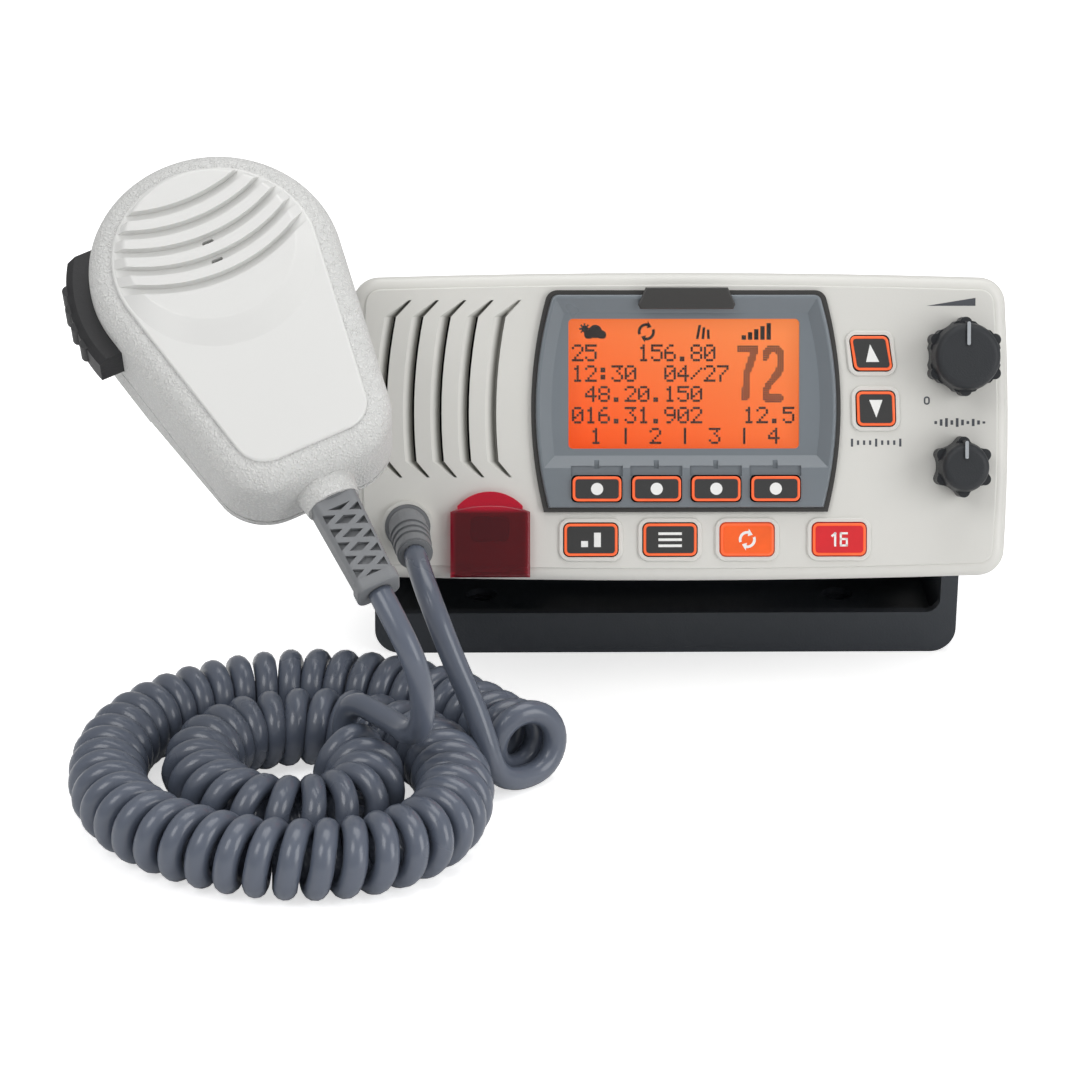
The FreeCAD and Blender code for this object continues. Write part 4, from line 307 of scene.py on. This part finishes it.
def lit_rubber(name, body_colour, glow_colour, strength):
    """Rubber with light behind it, a little uneven."""
    made, tree, shader = new_material(name)
    effect = effect_in(tree, GRAIN, Scale=1400.0, Blotch_Scale=160.0)
    dimmer_body, dimmer_glow = (tuple(v * 0.8 for v in colour[:3]) + (1,)
                                for colour in (body_colour, glow_colour))
    paint = mixed(tree, effect["Blotch"], body_colour, dimmer_body)
    glow = mixed(tree, ranged(tree, effect["Blotch"], 0.3, 0.7), glow_colour, dimmer_glow)
    tree.links.new(paint, shader.inputs["Base Color"])
    tree.links.new(glow, shader.inputs["Emission Color"])
    tree.links.new(ranged(tree, effect["Blotch"], 0, 1, 0.35, 0.5), shader.inputs["Roughness"])
    shader.inputs["Emission Strength"].default_value = strength
    return made


def clear_window(name):
    """The hard-coated display window."""
    made, tree, shader = new_material(name)
    shader.inputs["Base Color"].default_value = WHITE
    shader.inputs["Transmission Weight"].default_value = 1.0
    shader.inputs["IOR"].default_value = 1.16
    effect = effect_in(tree, GRAIN, Scale=2500.0)
    tree.links.new(ranged(tree, effect["Height"], 0, 1, 0.0, 0.03), shader.inputs["Roughness"])
    return made


COVER_X = -50.3                         # middle of the distress cover
COVER_SIDES = (9.0, 10.4)               # from there, the ends of its bright sides' soft edges
COVER_LIP = (-22.6, -21.4)              # the same below its thumb lip


def red_cover(name):
    """Tinted clear plastic: nearly black red, with a painted glow and a painted lighter red on its
    thumb lip and sides, where light shines through.
    """
    made, tree, shader = new_material(name)
    spot = place_in(tree, SET_FRAME)
    effect = effect_in(tree, GRAIN, Scale=700.0, Blotch_Scale=60.0)
    lip = ranged(tree, spot["Z"], *COVER_LIP)
    side = ranged(tree, off_middle(tree, spot["X"], COVER_X), *COVER_SIDES, 0.0, 0.55)
    edge = both(tree, lip, side, "MAXIMUM")
    body = mixed(tree, effect["Blotch"], (0.22, 0.008, 0.016, 1), (0.28, 0.012, 0.022, 1))
    # painted light: the lip and sides get a lighter red and a red glow, standing in for light
    # shining through the thin plastic
    tree.links.new(mixed(tree, edge, body, (0.55, 0.02, 0.05, 1)), shader.inputs["Base Color"])
    tree.links.new(mixed(tree, edge, (0.008, 0.0, 0.001, 1), (0.10, 0.001, 0.010, 1)),
                   shader.inputs["Emission Color"])
    shader.inputs["Emission Strength"].default_value = 1.0
    shader.inputs["Transmission Weight"].default_value = 0.85
    shader.inputs["IOR"].default_value = 1.45
    tree.links.new(ranged(tree, effect["Height"], 0, 1, 0.05, 0.12), shader.inputs["Roughness"])
    return made


def board(name, colour):
    """A printed board: solder mask with tracks showing through."""
    def tracks(tree, paint, gloss, height, depth):
        spot = add(tree, "ShaderNodeTexCoord").outputs["Object"]
        lines = add(tree, "ShaderNodeTexBrick", {"Vector": spot, "Scale": 260.0})
        lines.inputs["Color1"].default_value = lines.inputs["Color2"].default_value = (0, 0, 0, 1)
        lines.inputs["Mortar"].default_value = WHITE
        share = both(tree, lines.outputs["Fac"], 0.4)
        return mixed(tree, share, paint, tone("3E8A55")), gloss, lines.outputs["Fac"], depth
    return moulded(name, colour, 0.35, dress=tracks)


finishes = {
    "white_housing": moulded("housing_white", tone("DAD9D4"), 0.34, grain=1600, depth=0.00002,
                             variation=0.02, spread=0.05, dress=painted_louvre_shade),
    "mic_white": moulded("microphone_white", tone("DFDFDD"), 0.28, variation=0.01, spread=0.0,
                         dress=pebbled_rim),
    "dark_bracket": moulded("bracket_black", tone("363A40"), 0.42, grain=1500, depth=0.00006),
    "case_alloy": moulded("case_black", tone("2C2E31"), 0.5, grain=1200, depth=0.00006,
                          metallic=0.4),
    "bezel_grey": moulded("bezel_grey", tone("757C82"), 0.3, grain=1800, depth=0.00002,
                          spread=0.06),
    "trim_dark": moulded("trim_dark", tone("3C3B3A"), 0.33),
    "window": clear_window("display_window"),
    "display": lit_display("display_amber"),
    "key_dark": moulded("key_charcoal", tone("323232"), 0.55, grain=1800),
    "key_orange": lit_rubber("key_amber", tone("E85A1E"), tone("F26522"), 0.28),
    "key_red": lit_rubber("key_red", tone("C81F27"), tone("D9232A"), 0.25),
    "mat_rubber": moulded("mat_rubber", tone("3A3A3A"), 0.6),
    "board_green": board("board_green", tone("1E5B38")),
    "knob_dark": moulded("knob_rubber", tone("222529"), 0.52, grain=2400, depth=0.00008),
    "metal": moulded("stainless", tone("B8B8B8"), 0.3, metallic=1.0),
    "socket_metal": moulded("nickel", tone("C8C8C4"), 0.2, metallic=1.0),
    "can_metal": moulded("tinned", tone("C0C0C0"), 0.35, metallic=1.0),
    "cover_red": red_cover("cover_red"),
    "cord_grey": moulded("cord_grey", tone("5C6371"), 0.30, grain=600, spread=0.08, coat=0.35,
                         dress=swept_cord),
    "relief_grey": moulded("relief_grey", tone("7C7E81"), 0.44, grain=1400),
    "seal_black": moulded("seal_black", tone("1C1C1C"), 0.6),
    "speaker_black": moulded("speaker_black", tone("202020"), 0.6),
    "talk_black": moulded("talk_black", tone("252527"), 0.5, grain=1300, depth=0.00006),
}
for row in frame["record"]["subparts"]:
    node = nodes[row["node"]]
    node.data.materials.clear()
    node.data.materials.append(finishes[row["material_slot"]])
# Two pieces are not the colour of the other pieces of their slot.
nodes["mic_gasket"].data.materials[0] = moulded("seal_pale", tone("A4A5A4"), 0.5)
nodes["distress_key"].data.materials[0] = moulded("distress_key_dark", tone("30090B"), 0.4)


# ------------------------------------------------------------------ cords
def mm(points):
    """Points given in millimetres, as vectors in metres."""
    return [Vector(point) * MM for point in points]


LEAD_RADIO = mm([(-70, -82.3, 55.1), (-68.5, -93.1, 53.8), (-64.6, -101.3, 45.8),
                 (-60.2, -105.6, 35.3), (-55.4, -108.8, 25), (-52.6, -112, 17.6),
                 (-48.25, -113.28, 3.2), (-40, -106, 3.2)])
MIC_TIP = MIC_FRAME @ Vector((0, 0.0135, -0.0746))
LEAD_MIC = [MIC_TIP] + mm([(-73.9, -147.4, 62.8), (-69.6, -149.8, 53.5), (-68, -146.5, 43),
                           (-68.6, -139.5, 32.5), (-71.5, -130, 26), (-75.8, -120.5, 25.2),
                           (-88.22, -105.9, 25.9), (-88.47, -107.33, 15.43)])
CURL_ON_FLOOR = [(-40, -106), (-50, -90), (-64, -76), (-82, -68), (-101, -65.5), (-120, -71),
                 (-136, -82), (-146, -98), (-149, -117), (-146, -136), (-135, -152), (-118, -163),
                 (-99, -168), (-80, -165), (-66, -154), (-60, -138), (-60.5, -121), (-66, -106),
                 (-77, -96), (-92, -91), (-108, -92), (-121, -101), (-126, -116), (-121, -131),
                 (-111, -142), (-97, -144), (-84, -137)]
CURL = mm([(x, y, 10.25) for x, y in CURL_ON_FLOOR]
          + [(-81.5, -124, 11), (-88, -114, 13), (-98, -111, 15.5)])
WIRE_RADIUS = 0.0031
CURL_RADIUS = 0.00705        # middle of the wire, from the middle of the curl
OPEN_RADIUS = 0.0086         # the first turn, where the curl hangs open
OPEN_TURNS = 1.6             # turns over which it closes
CURL_PITCH = 0.0069056
CURL_TURNS = 69.25
CURL_STEPS = 32              # points to a turn


def smooth_line(name, points, steps=16):
    """The points of the NURBS line that has the route's points as its control points."""
    data = bpy.data.curves.new(name, "CURVE")
    data.dimensions = "3D"
    data.resolution_u = steps
    spline = data.splines.new("NURBS")
    spline.points.add(len(points) - 1)
    for control, point in zip(spline.points, points):
        control.co = (*point, 1)
    spline.order_u = 3
    spline.use_endpoint_u = True
    holder = bpy.data.objects.new(name, data)
    mesh = bpy.data.meshes.new_from_object(holder)
    line = [vertex.co.copy() for vertex in mesh.vertices]
    bpy.data.objects.remove(holder)
    return line


def length_of(line):
    return sum((b - a).length for a, b in zip(line, line[1:]))


def along(line, count):
    """Evenly spaced points on a line, with the way it runs at each."""
    total, travelled, index = length_of(line), 0.0, 0
    spots = []
    for number in range(count):
        wanted = total * number / (count - 1)
        while index < len(line) - 2 and travelled + (line[index + 1] - line[index]).length < wanted:
            travelled += (line[index + 1] - line[index]).length
            index += 1
        step = line[index + 1] - line[index]
        spots.append(line[index] + step * ((wanted - travelled) / step.length))
    ways = [(b - a).normalized() for a, b in zip(spots[:1] + spots, spots[1:] + spots[-1:])]
    return list(zip(spots, ways))


def helix(line, first_side, turns, steps):
    """Points of a winding round a line that starts on the side given, its first turn wider."""
    spots = along(line, round(length_of(line) / CURL_PITCH * steps) + 1)
    side = first_side
    winding = []
    for number, (spot, way) in enumerate(spots[:round(turns * steps) + 1]):
        side = (side - way * side.dot(way)).normalized()
        angle = 2 * math.pi * number / steps
        cross = side.cross(way)
        wider = (OPEN_RADIUS - CURL_RADIUS) * max(0, 1 - number / steps / OPEN_TURNS)
        around = side * math.cos(angle) + cross * math.sin(angle)
        winding.append(spot + Vector((0, 0, wider)) + around * (CURL_RADIUS + wider))
    return winding


def mesh_piece(name, verts, faces, material, body, slot=None, smooth=True):
    """A mesh object with its material, on its body."""
    mesh = bpy.data.meshes.new(name)
    mesh.from_pydata([tuple(v) for v in verts], [], faces)
    shell = bmesh.new()
    shell.from_mesh(mesh)
    bmesh.ops.recalc_face_normals(shell, faces=shell.faces)
    shell.to_mesh(mesh)
    shell.free()
    if smooth:
        mesh.shade_smooth()
    mesh.materials.append(material)
    piece = bpy.data.objects.new(name, mesh)
    scene.collection.objects.link(piece)
    if body:
        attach(piece, body)
    return piece


def tube_mesh(line, radius, sides=14):
    """Vertices and faces of a round tube along a line, closed at both ends."""
    verts, faces = [], []
    side = None
    for index, spot in enumerate(line):
        before, after = line[max(index - 1, 0)], line[min(index + 1, len(line) - 1)]
        way = (after - before).normalized()
        if side is None:
            side = way.orthogonal().normalized()
        side = (side - way * side.dot(way)).normalized()
        cross = way.cross(side)
        for number in range(sides):
            angle = 2 * math.pi * number / sides
            verts.append(spot + (side * math.cos(angle) + cross * math.sin(angle)) * radius)
    for ring in range(len(line) - 1):
        for number in range(sides):
            a, b = ring * sides + number, ring * sides + (number + 1) % sides
            faces.append((a, b, b + sides, a + sides))
    last = (len(line) - 1) * sides
    faces.append(tuple(range(sides))[::-1])
    faces.append(tuple(range(last, last + sides)))
    return verts, faces


lead_line = smooth_line("lead_route", LEAD_RADIO)
curl_line = smooth_line("curl_route", CURL)
winding = helix(curl_line, Vector((0, 0, -1)), CURL_TURNS, CURL_STEPS)
cord_line = lead_line[:-1] + winding
curly_cord = mesh_piece("curly_cord", *tube_mesh(cord_line, WIRE_RADIUS), finishes["cord_grey"],
                        None, "cord_grey")
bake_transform(curly_cord)
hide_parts("cord_curl", "cord_lead_radio")

mic_line = smooth_line("mic_lead_route", LEAD_MIC)
mic_lead = mesh_piece("mic_lead", *tube_mesh(mic_line, WIRE_RADIUS), finishes["cord_grey"], None,
                      "cord_grey")
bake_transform(mic_lead)
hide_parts("cord_lead_mic")


# ------------------------------------------------------------------ printed and inlaid shapes
def slab(shapes, front, back, home):
    """Flat shapes given a thickness: a shape is one loop of (x, z), or an outer and an inner."""
    verts, faces = [], []
    for shape in shapes:
        loops = shape if isinstance(shape[0][0], (tuple, list)) else (shape,)
        rings = []
        for loop in loops:
            for y in (front, back):
                rings.append(range(len(verts), len(verts) + len(loop)))
                verts += [home @ (Vector((x, -y, z)) * MM) for x, z in loop]
            near, far = rings[-2:]
            faces += [(near[i - 1], near[i], far[i], far[i - 1]) for i in range(len(loop))]
        if len(loops) == 1:
            faces += [tuple(rings[0]), tuple(rings[1])]
        else:
            for first, second in ((rings[0], rings[2]), (rings[1], rings[3])):
                faces += [(first[i - 1], first[i], second[i], second[i - 1])
                          for i in range(len(first))]
    return verts, faces


def ink(name, shapes, front, home, material, body, slot, thick=PRINT):
    """A printed or inlaid piece, half in and half out of what it lies on."""
    return mesh_piece(name, *slab(shapes, front + thick, front - thick, home), material, body, slot,
                      smooth=False)


def disc(x, z, radius, count=32):
    """A round loop."""
    return [(x + radius * math.cos(2 * math.pi * i / count),
             z + radius * math.sin(2 * math.pi * i / count)) for i in range(count)]


def bar(x, z, width, height):
    """A rectangle about its middle."""
    return [(x - width / 2, z - height / 2), (x + width / 2, z - height / 2),
            (x + width / 2, z + height / 2), (x - width / 2, z + height / 2)]


def soft_box(width, height, corner, inset=0.0, steps=5):
    """A rectangle with round corners about the origin."""
    corner = max(corner - inset, 0.05)
    across, up = width / 2 - inset - corner, height / 2 - inset - corner
    loop = []
    for number, (side_x, side_z) in enumerate(((1, 1), (-1, 1), (-1, -1), (1, -1))):
        for step in range(steps + 1):
            angle = math.pi / 2 * (number + step / steps)
            loop.append((side_x * across + corner * math.cos(angle),
                         side_z * up + corner * math.sin(angle)))
    return loop


def arrow_arc(radius, width, start, end, head):
    """A bent arrow: a band from start to end, degrees, with a pointed head past its end."""
    count = 14
    angles = [math.radians(start + (end - start) * i / count) for i in range(count + 1)]
    outer, inner = ([(reach * math.cos(a), reach * math.sin(a)) for a in angles]
                    for reach in (radius + width / 2, radius - width / 2))
    tip = angles[-1] + math.copysign(head / radius, end - start)
    spread = head * 0.75
    point = [((radius + spread) * math.cos(angles[-1]), (radius + spread) * math.sin(angles[-1])),
             (radius * math.cos(tip), radius * math.sin(tip)),
             ((radius - spread) * math.cos(angles[-1]), (radius - spread) * math.sin(angles[-1]))]
    return outer + point + inner[::-1]


def replay_loop(x, z, radius, width, head):
    """Two bent arrows that chase each other round a ring."""
    return [[(x + across, z + up)
             for across, up in arrow_arc(radius, width, start, start - 118, head)]
            for start in (200, 20)]


def star_shape(reach, count=72):
    """A loop about its middle from how far it reaches at each angle."""
    return [(reach(a) * math.cos(a), reach(a) * math.sin(a))
            for a in (2 * math.pi * i / count for i in range(count))]


# Digits and marks of a 5 by 7 dot matrix, a row of dots per number.
GLYPHS = {
    "0": (14, 17, 19, 21, 25, 17, 14), "1": (4, 12, 4, 4, 4, 4, 14), "2": (14, 17, 1, 2, 4, 8, 31),
    "3": (31, 2, 4, 2, 1, 17, 14), "4": (2, 6, 10, 18, 31, 2, 2), "5": (31, 16, 30, 1, 1, 17, 14),
    "6": (6, 8, 16, 30, 17, 17, 14), "7": (31, 1, 2, 4, 8, 8, 8), "8": (14, 17, 17, 14, 17, 17, 14),
    "9": (14, 17, 17, 15, 1, 2, 12), ":": (0, 12, 12, 0, 12, 12, 0), ".": (0, 0, 0, 0, 0, 12, 12),
    "/": (0, 1, 2, 4, 8, 16, 0), "|": (4, 4, 4, 4, 4, 4, 4), " ": (0,) * 7,
}


def dots(text, left, top, pitch_x, pitch_z, step, size):
    """The dots of a line of text, from its upper left corner."""
    return [bar(left + number * step + (column + 0.5) * pitch_x, top - (row + 0.5) * pitch_z, *size)
            for number, letter in enumerate(text)
            for row, line in enumerate(GLYPHS[letter])
            for column in range(5) if line >> (4 - column) & 1]


# The strokes of the digits on keys, as runs between points of a 2 by 4 grid.
STROKES = {"0": [((0, 0), (2, 0), (2, 4), (0, 4), (0, 0))],
           "1": [((0.3, 3.2), (1.2, 4), (1.2, 0))],
           "6": [((2, 4), (0, 4), (0, 0), (2, 0), (2, 2.1), (0, 2.1))]}


def stroke_digit(letter, x, z, height, weight):
    """The bars of a plain digit with its lower left corner at x, z."""
    unit = height / 4
    bars = []
    for run in STROKES[letter]:
        for (x0, z0), (x1, z1) in zip(run, run[1:]):
            a, b = Vector((x0, z0)) * unit, Vector((x1, z1)) * unit
            way = (b - a).normalized() * weight / 2
            side = Vector((-way.y, way.x))
            a, b = a - way, b + way
            bars.append([(x + p.x, z + p.y) for p in (a - side, b - side, b + side, a + side)])
    return bars


# ------------------------------------------------------------------ display
lcd_ink = moulded("display_ink", tone("150B08"), 0.6)
lcd_fine_ink = moulded("display_fine_ink", tone("3A221A"), 0.6)
DISPLAY_FACE = 57.57
TEXT_LEFT = -28.6
LETTER = 3.49               # one letter's left side to the next one's
DOT = 0.62                  # one dot to the next, across
SOFT_KEY_STEP = 15.7        # one soft key to the next
text_dots = []
for text, top, height in (("25   156.80", 21.8, 4.5), ("12:30  04/27", 16.3, 4.4),
                          (" 48.20.150", 10.8, 4.2), ("016.31.902   12.5", 5.3, 4.4)):
    text_dots += dots(text, TEXT_LEFT, top, DOT, height / 7, LETTER, (0.6, height / 7 - 0.02))
for number, letter in enumerate("1234"):
    text_dots += dots(letter, -23.75 + SOFT_KEY_STEP * number, -0.25, DOT, 0.61, LETTER,
                      (0.6, 0.59))
text_dots += [bar(-14.35 + SOFT_KEY_STEP * number, -2.4, DOT, 4.3) for number in range(3)]


def on_display(name, shapes, material):
    ink(name, shapes, DISPLAY_FACE, SET_FRAME, material, "radio", "display", SCREEN_PRINT)


on_display("display_text", text_dots, lcd_ink)

# The channel's two tall digits, as the runs that a broad pen takes over a unit square.
TALL_DIGITS = {
    "7": [(0.0, 1.0), (1.0, 1.0), (0.45, 0.5), (0.35, 0.0)],
    "2": [(0.0, 0.84), (0.1, 0.96), (0.3, 1.0), (0.7, 1.0), (0.92, 0.95), (1.0, 0.82),
          (1.0, 0.66), (0.85, 0.52), (0.15, 0.25), (0.0, 0.1), (0.0, 0.0), (1.0, 0.0)]}
DIGIT_STEP = 6.8
PEN = 0.92                  # half the broad pen's width


def pen_reach(run, spot):
    """How far a spot lies from a run of straight strokes."""
    return min((spot - a - (b - a) * max(0, min(1, (spot - a).dot(b - a) / (b - a).length_squared))
                ).length for a, b in zip(run, run[1:]))


fine_dots = []
for number, letter in enumerate("72"):
    run = [Vector((15.9 + DIGIT_STEP * number + 4.0 * x, 7.6 + 12.9 * z))
           for x, z in TALL_DIGITS[letter]]
    for column in range(12):
        for row in range(26):
            spot = Vector((14.9 + DIGIT_STEP * number + 0.55 * column, 6.7 + 0.58 * row))
            if pen_reach(run, spot) < PEN:
                fine_dots.append(bar(*spot, 0.47, 0.5))
on_display("display_channel", fine_dots, lcd_fine_ink)


def cloud_reach(angle):
    """How far a cloud of three puffs reaches from its middle."""
    reach = 0
    for x, z, radius in ((-1.5, -0.3, 1.25), (0.2, 0.5, 1.75), (1.9, -0.4, 1.2)):
        along_ray = x * math.cos(angle) + z * math.sin(angle)
        off = x * x + z * z - along_ray ** 2
        if off < radius ** 2:
            reach = max(reach, along_ray + math.sqrt(radius ** 2 - off))
    floor_reach = 1.4 / -math.sin(angle) if math.sin(angle) < 0 else 99
    return min(reach, floor_reach)


def sun_reach(angle):
    """How far a sun with eight rays reaches from its middle."""
    return 0.9 + 0.55 * (math.cos(8 * angle) > 0)


icons = [[(x - 22.6, z + 24.7) for x, z in star_shape(cloud_reach)]]
icons += [[(-25.2 + x, 25.9 + z) for x, z in star_shape(sun_reach, 96)]]
icons += replay_loop(-8.9, 25.1, 1.9, 0.75, 1.3)
icons += [[(4.2 + 1.5 * i, 23.2), (4.9 + 1.5 * i, 23.2), (5.6 + 1.1 * i, 26.9 - 0.6 * i),
           (4.9 + 1.1 * i, 26.9 - 0.6 * i)] for i in range(3)]
icons += [bar(16.9 + 1.65 * i, 23.0 + (1.2 + 0.8 * i) / 2, 1.15, 1.2 + 0.8 * i) for i in range(5)]
on_display("display_icons", icons, lcd_ink)


# ------------------------------------------------------------------ keys
key_glow = lit_rubber("key_rim_glow", tone("D8572B"), tone("F4683A"), 0.62)
legend_white = moulded("legend_white", tone("F0F0EE"), 0.45)


def key_rim(name, home, width, height, front):
    """The lit rim round a key cap: a low rounded bead of translucent rubber."""
    profile = ((-0.02, -0.25), (-0.02, 0.02), (0.12, 0.16), (0.35, 0.22), (0.56, 0.2),
               (0.74, 0.12), (0.74, -0.25))
    verts, faces = [], []
    for inset, rise in profile:
        loop = soft_box(width, height, KEY_CORNER, inset)
        verts += [home @ (Vector((x, -front - rise, z)) * MM) for x, z in loop]
    count = len(verts) // len(profile)
    for ring in range(len(profile)):
        following = (ring + 1) % len(profile)
        for i in range(count):
            j = (i + 1) % count
            faces.append((ring * count + i, ring * count + j, following * count + j,
                          following * count + i))
    mesh_piece(name + "_rim", verts, faces, key_glow, name, "key_orange")


def dressed_key(name, x, z, width, height, shapes, ground=FACE, lean=0):
    """A key's lit rim and white sign; a slanted key's top lies lean further right."""
    slant = Matrix(((1, 0, lean / height, 0), (0, 1, 0, 0), (0, 0, 1, 0), (0, 0, 0, 1)))
    home = SET_FRAME @ Matrix.Translation((x * MM, 0, z * MM)) @ slant
    key_rim(name, home, width, height, ground + KEY_STEP - RIM_STEP)
    ink(name + "_legend", shapes, ground + KEY_STEP, home, legend_white, name, "key_dark")


UP_ARROW = [(-1.75, -2.3), (1.75, -2.3), (0, 2.4)]
LOW_KEYS = {
    "power_key": (-23.7, [bar(-1.7, -1.1, 1.8, 1.6), bar(1.7, 0, 1.8, 3.8)]),
    "menu_key": (-2.8, [bar(0, rise, 6.2, 0.7) for rise in (-1.6, 0, 1.6)]),
    "replay_key": (17.6, replay_loop(0, 0, 1.9, 0.7, 1.35)),
    "hail_key": (42, stroke_digit("1", -2.1, -1.6, 3.2, 0.55)
                 + stroke_digit("6", 0.35, -1.6, 3.2, 0.55)),
}
for name, (x, shapes) in LOW_KEYS.items():
    dressed_key(name, x, -29.7, 14, 8.5, shapes)
for name, x, z, lean, turn in (("channel_up_key", 50.3, 19.4, -1.4, 1),
                               ("channel_down_key", 51.6, 4.8, -0.3, -1)):
    dressed_key(name, x, z, 10, 9, [[(across, up * turn) for across, up in UP_ARROW]], lean=lean)
for number in range(4):
    dressed_key(f"soft_key_{number + 1}", -22.2 + SOFT_KEY_STEP * number, -16.2, 12.8, 6.5,
                [disc(0, 0, 1.6)], BEZEL)


# ------------------------------------------------------------------ marks on the face and knobs
face_ink = moulded("face_ink", tone("4B4E54"), 0.5)
pointer_ink = moulded("pointer_ink", tone("A4A8AC"), 0.45)
SQUELCH_HEIGHTS = (0.8, 1.7, 2.3, 1.2, 2.3, 1.5, 0.8, 1.9, 1.1, 0.6)
FACE_MARKS = {
    "volume_wedge": [[(65.0, 31.9), (78.0, 31.9), (78.0, 34.0)]],
    "volume_zero": [tuple([(65.2 + x, 6.9 + z) for x, z in soft_box(1.6, 2.2, 0.75, inset)]
                          for inset in (0.0, 0.42))],
    "squelch_bars": [bar(67.6 + 1.42 * i, 1.1, 0.72, height)
                     for i, height in enumerate(SQUELCH_HEIGHTS)],
    "channel_ticks": [bar(45.4 + 1.6 * i, -4.2, 0.6, 2.1 if i % 4 == 0 else 1.2)
                      for i in range(9)],
}
for name, shapes in FACE_MARKS.items():
    ink(name, shapes, FACE, SET_FRAME, face_ink, "radio", "trim_dark")
POINTER_FRONT = FACE + 13.5         # the front of the knobs' caps
for name, x, z, radius in (("volume_knob", 74.4, 18.5, 10.4), ("squelch_knob", 74, -10.5, 8)):
    home = SET_FRAME @ Matrix.Translation((x * MM, 0, (z + radius * 0.58) * MM))
    ink(name + "_pointer", [soft_box(0.9, radius * 0.62 - 0.3, 0.4)], POINTER_FRONT, home,
        pointer_ink, name, "knob_dark")


# ------------------------------------------------------------------ microphone's side
def side_wall(z):
    """Where the left wall of the microphone lies, which tapers to the tail."""
    return -28.94 - 0.1775 * z


# A filler closes the opening in the rear shell's left wall.
filler = [(side_wall(z), z) for z in (-0.2, 2.4, 5.0, 7.5)] + [(-27.4, 7.5), (-26.2, -0.2)]
mesh_piece("mic_side_filler", *slab([filler], -21.62, -29.8, MIC_FRAME), finishes["mic_white"],
           "mic", "mic_white", smooth=False)


# ------------------------------------------------------------------ floor and light
floor_mesh = bpy.data.meshes.new("floor")
FLOOR_REACH = 3
floor_mesh.from_pydata([(x * FLOOR_REACH, y * FLOOR_REACH, 0)
                        for x, y in ((-1, -1), (1, -1), (1, 1), (-1, 1))], [], [(0, 1, 2, 3)])
floor = bpy.data.objects.new("floor", floor_mesh)
scene.collection.objects.link(floor)
floor_paint, tree, shader = new_material("floor_paint")
shader.inputs["Base Color"].default_value = (0.93, 0.93, 0.93, 1)
shader.inputs["Roughness"].default_value = 0.9
shader.inputs["Emission Color"].default_value = WHITE
seen = add(tree, "ShaderNodeLightPath").outputs["Is Camera Ray"]
tree.links.new(ranged(tree, seen, 0, 1, 0.0, 0.62), shader.inputs["Emission Strength"])
floor_mesh.materials.append(floor_paint)

world = bpy.data.worlds.new("studio")
scene.world = world
world.use_nodes = True
tree = world.node_tree
ground = tree.nodes["Background"]
rays = add(tree, "ShaderNodeLightPath")
seen = both(tree, rays.outputs["Is Camera Ray"], rays.outputs["Is Transmission Ray"], "MAXIMUM")
tree.links.new(ranged(tree, seen, 0, 1, 0.42, 1.0), ground.inputs["Strength"])
ground.inputs["Color"].default_value = WHITE


def lamp(name, place, aim, width, height, power):
    """A soft rectangular lamp that looks at a spot; its power is in watts."""
    data = bpy.data.lights.new(name, "AREA")
    data.shape = "RECTANGLE"
    data.size, data.size_y, data.energy = width, height, power
    made = bpy.data.objects.new(name, data)
    made.location = place
    made.rotation_euler = (Vector(aim) - Vector(place)).to_track_quat("-Z", "Y").to_euler()
    scene.collection.objects.link(made)


lamp("key_lamp", (-0.7, -0.9, 1.1), (-0.02, -0.06, 0.06), 0.7, 0.7, 5.0)
lamp("top_lamp", (0.1, 0.1, 1.2), (0, -0.05, 0.05), 1.0, 0.8, 5.5)
lamp("fill_lamp", (0.85, -0.75, 0.45), (0, -0.06, 0.06), 0.6, 0.8, 4.5)
scene.view_settings.view_transform = "Standard"
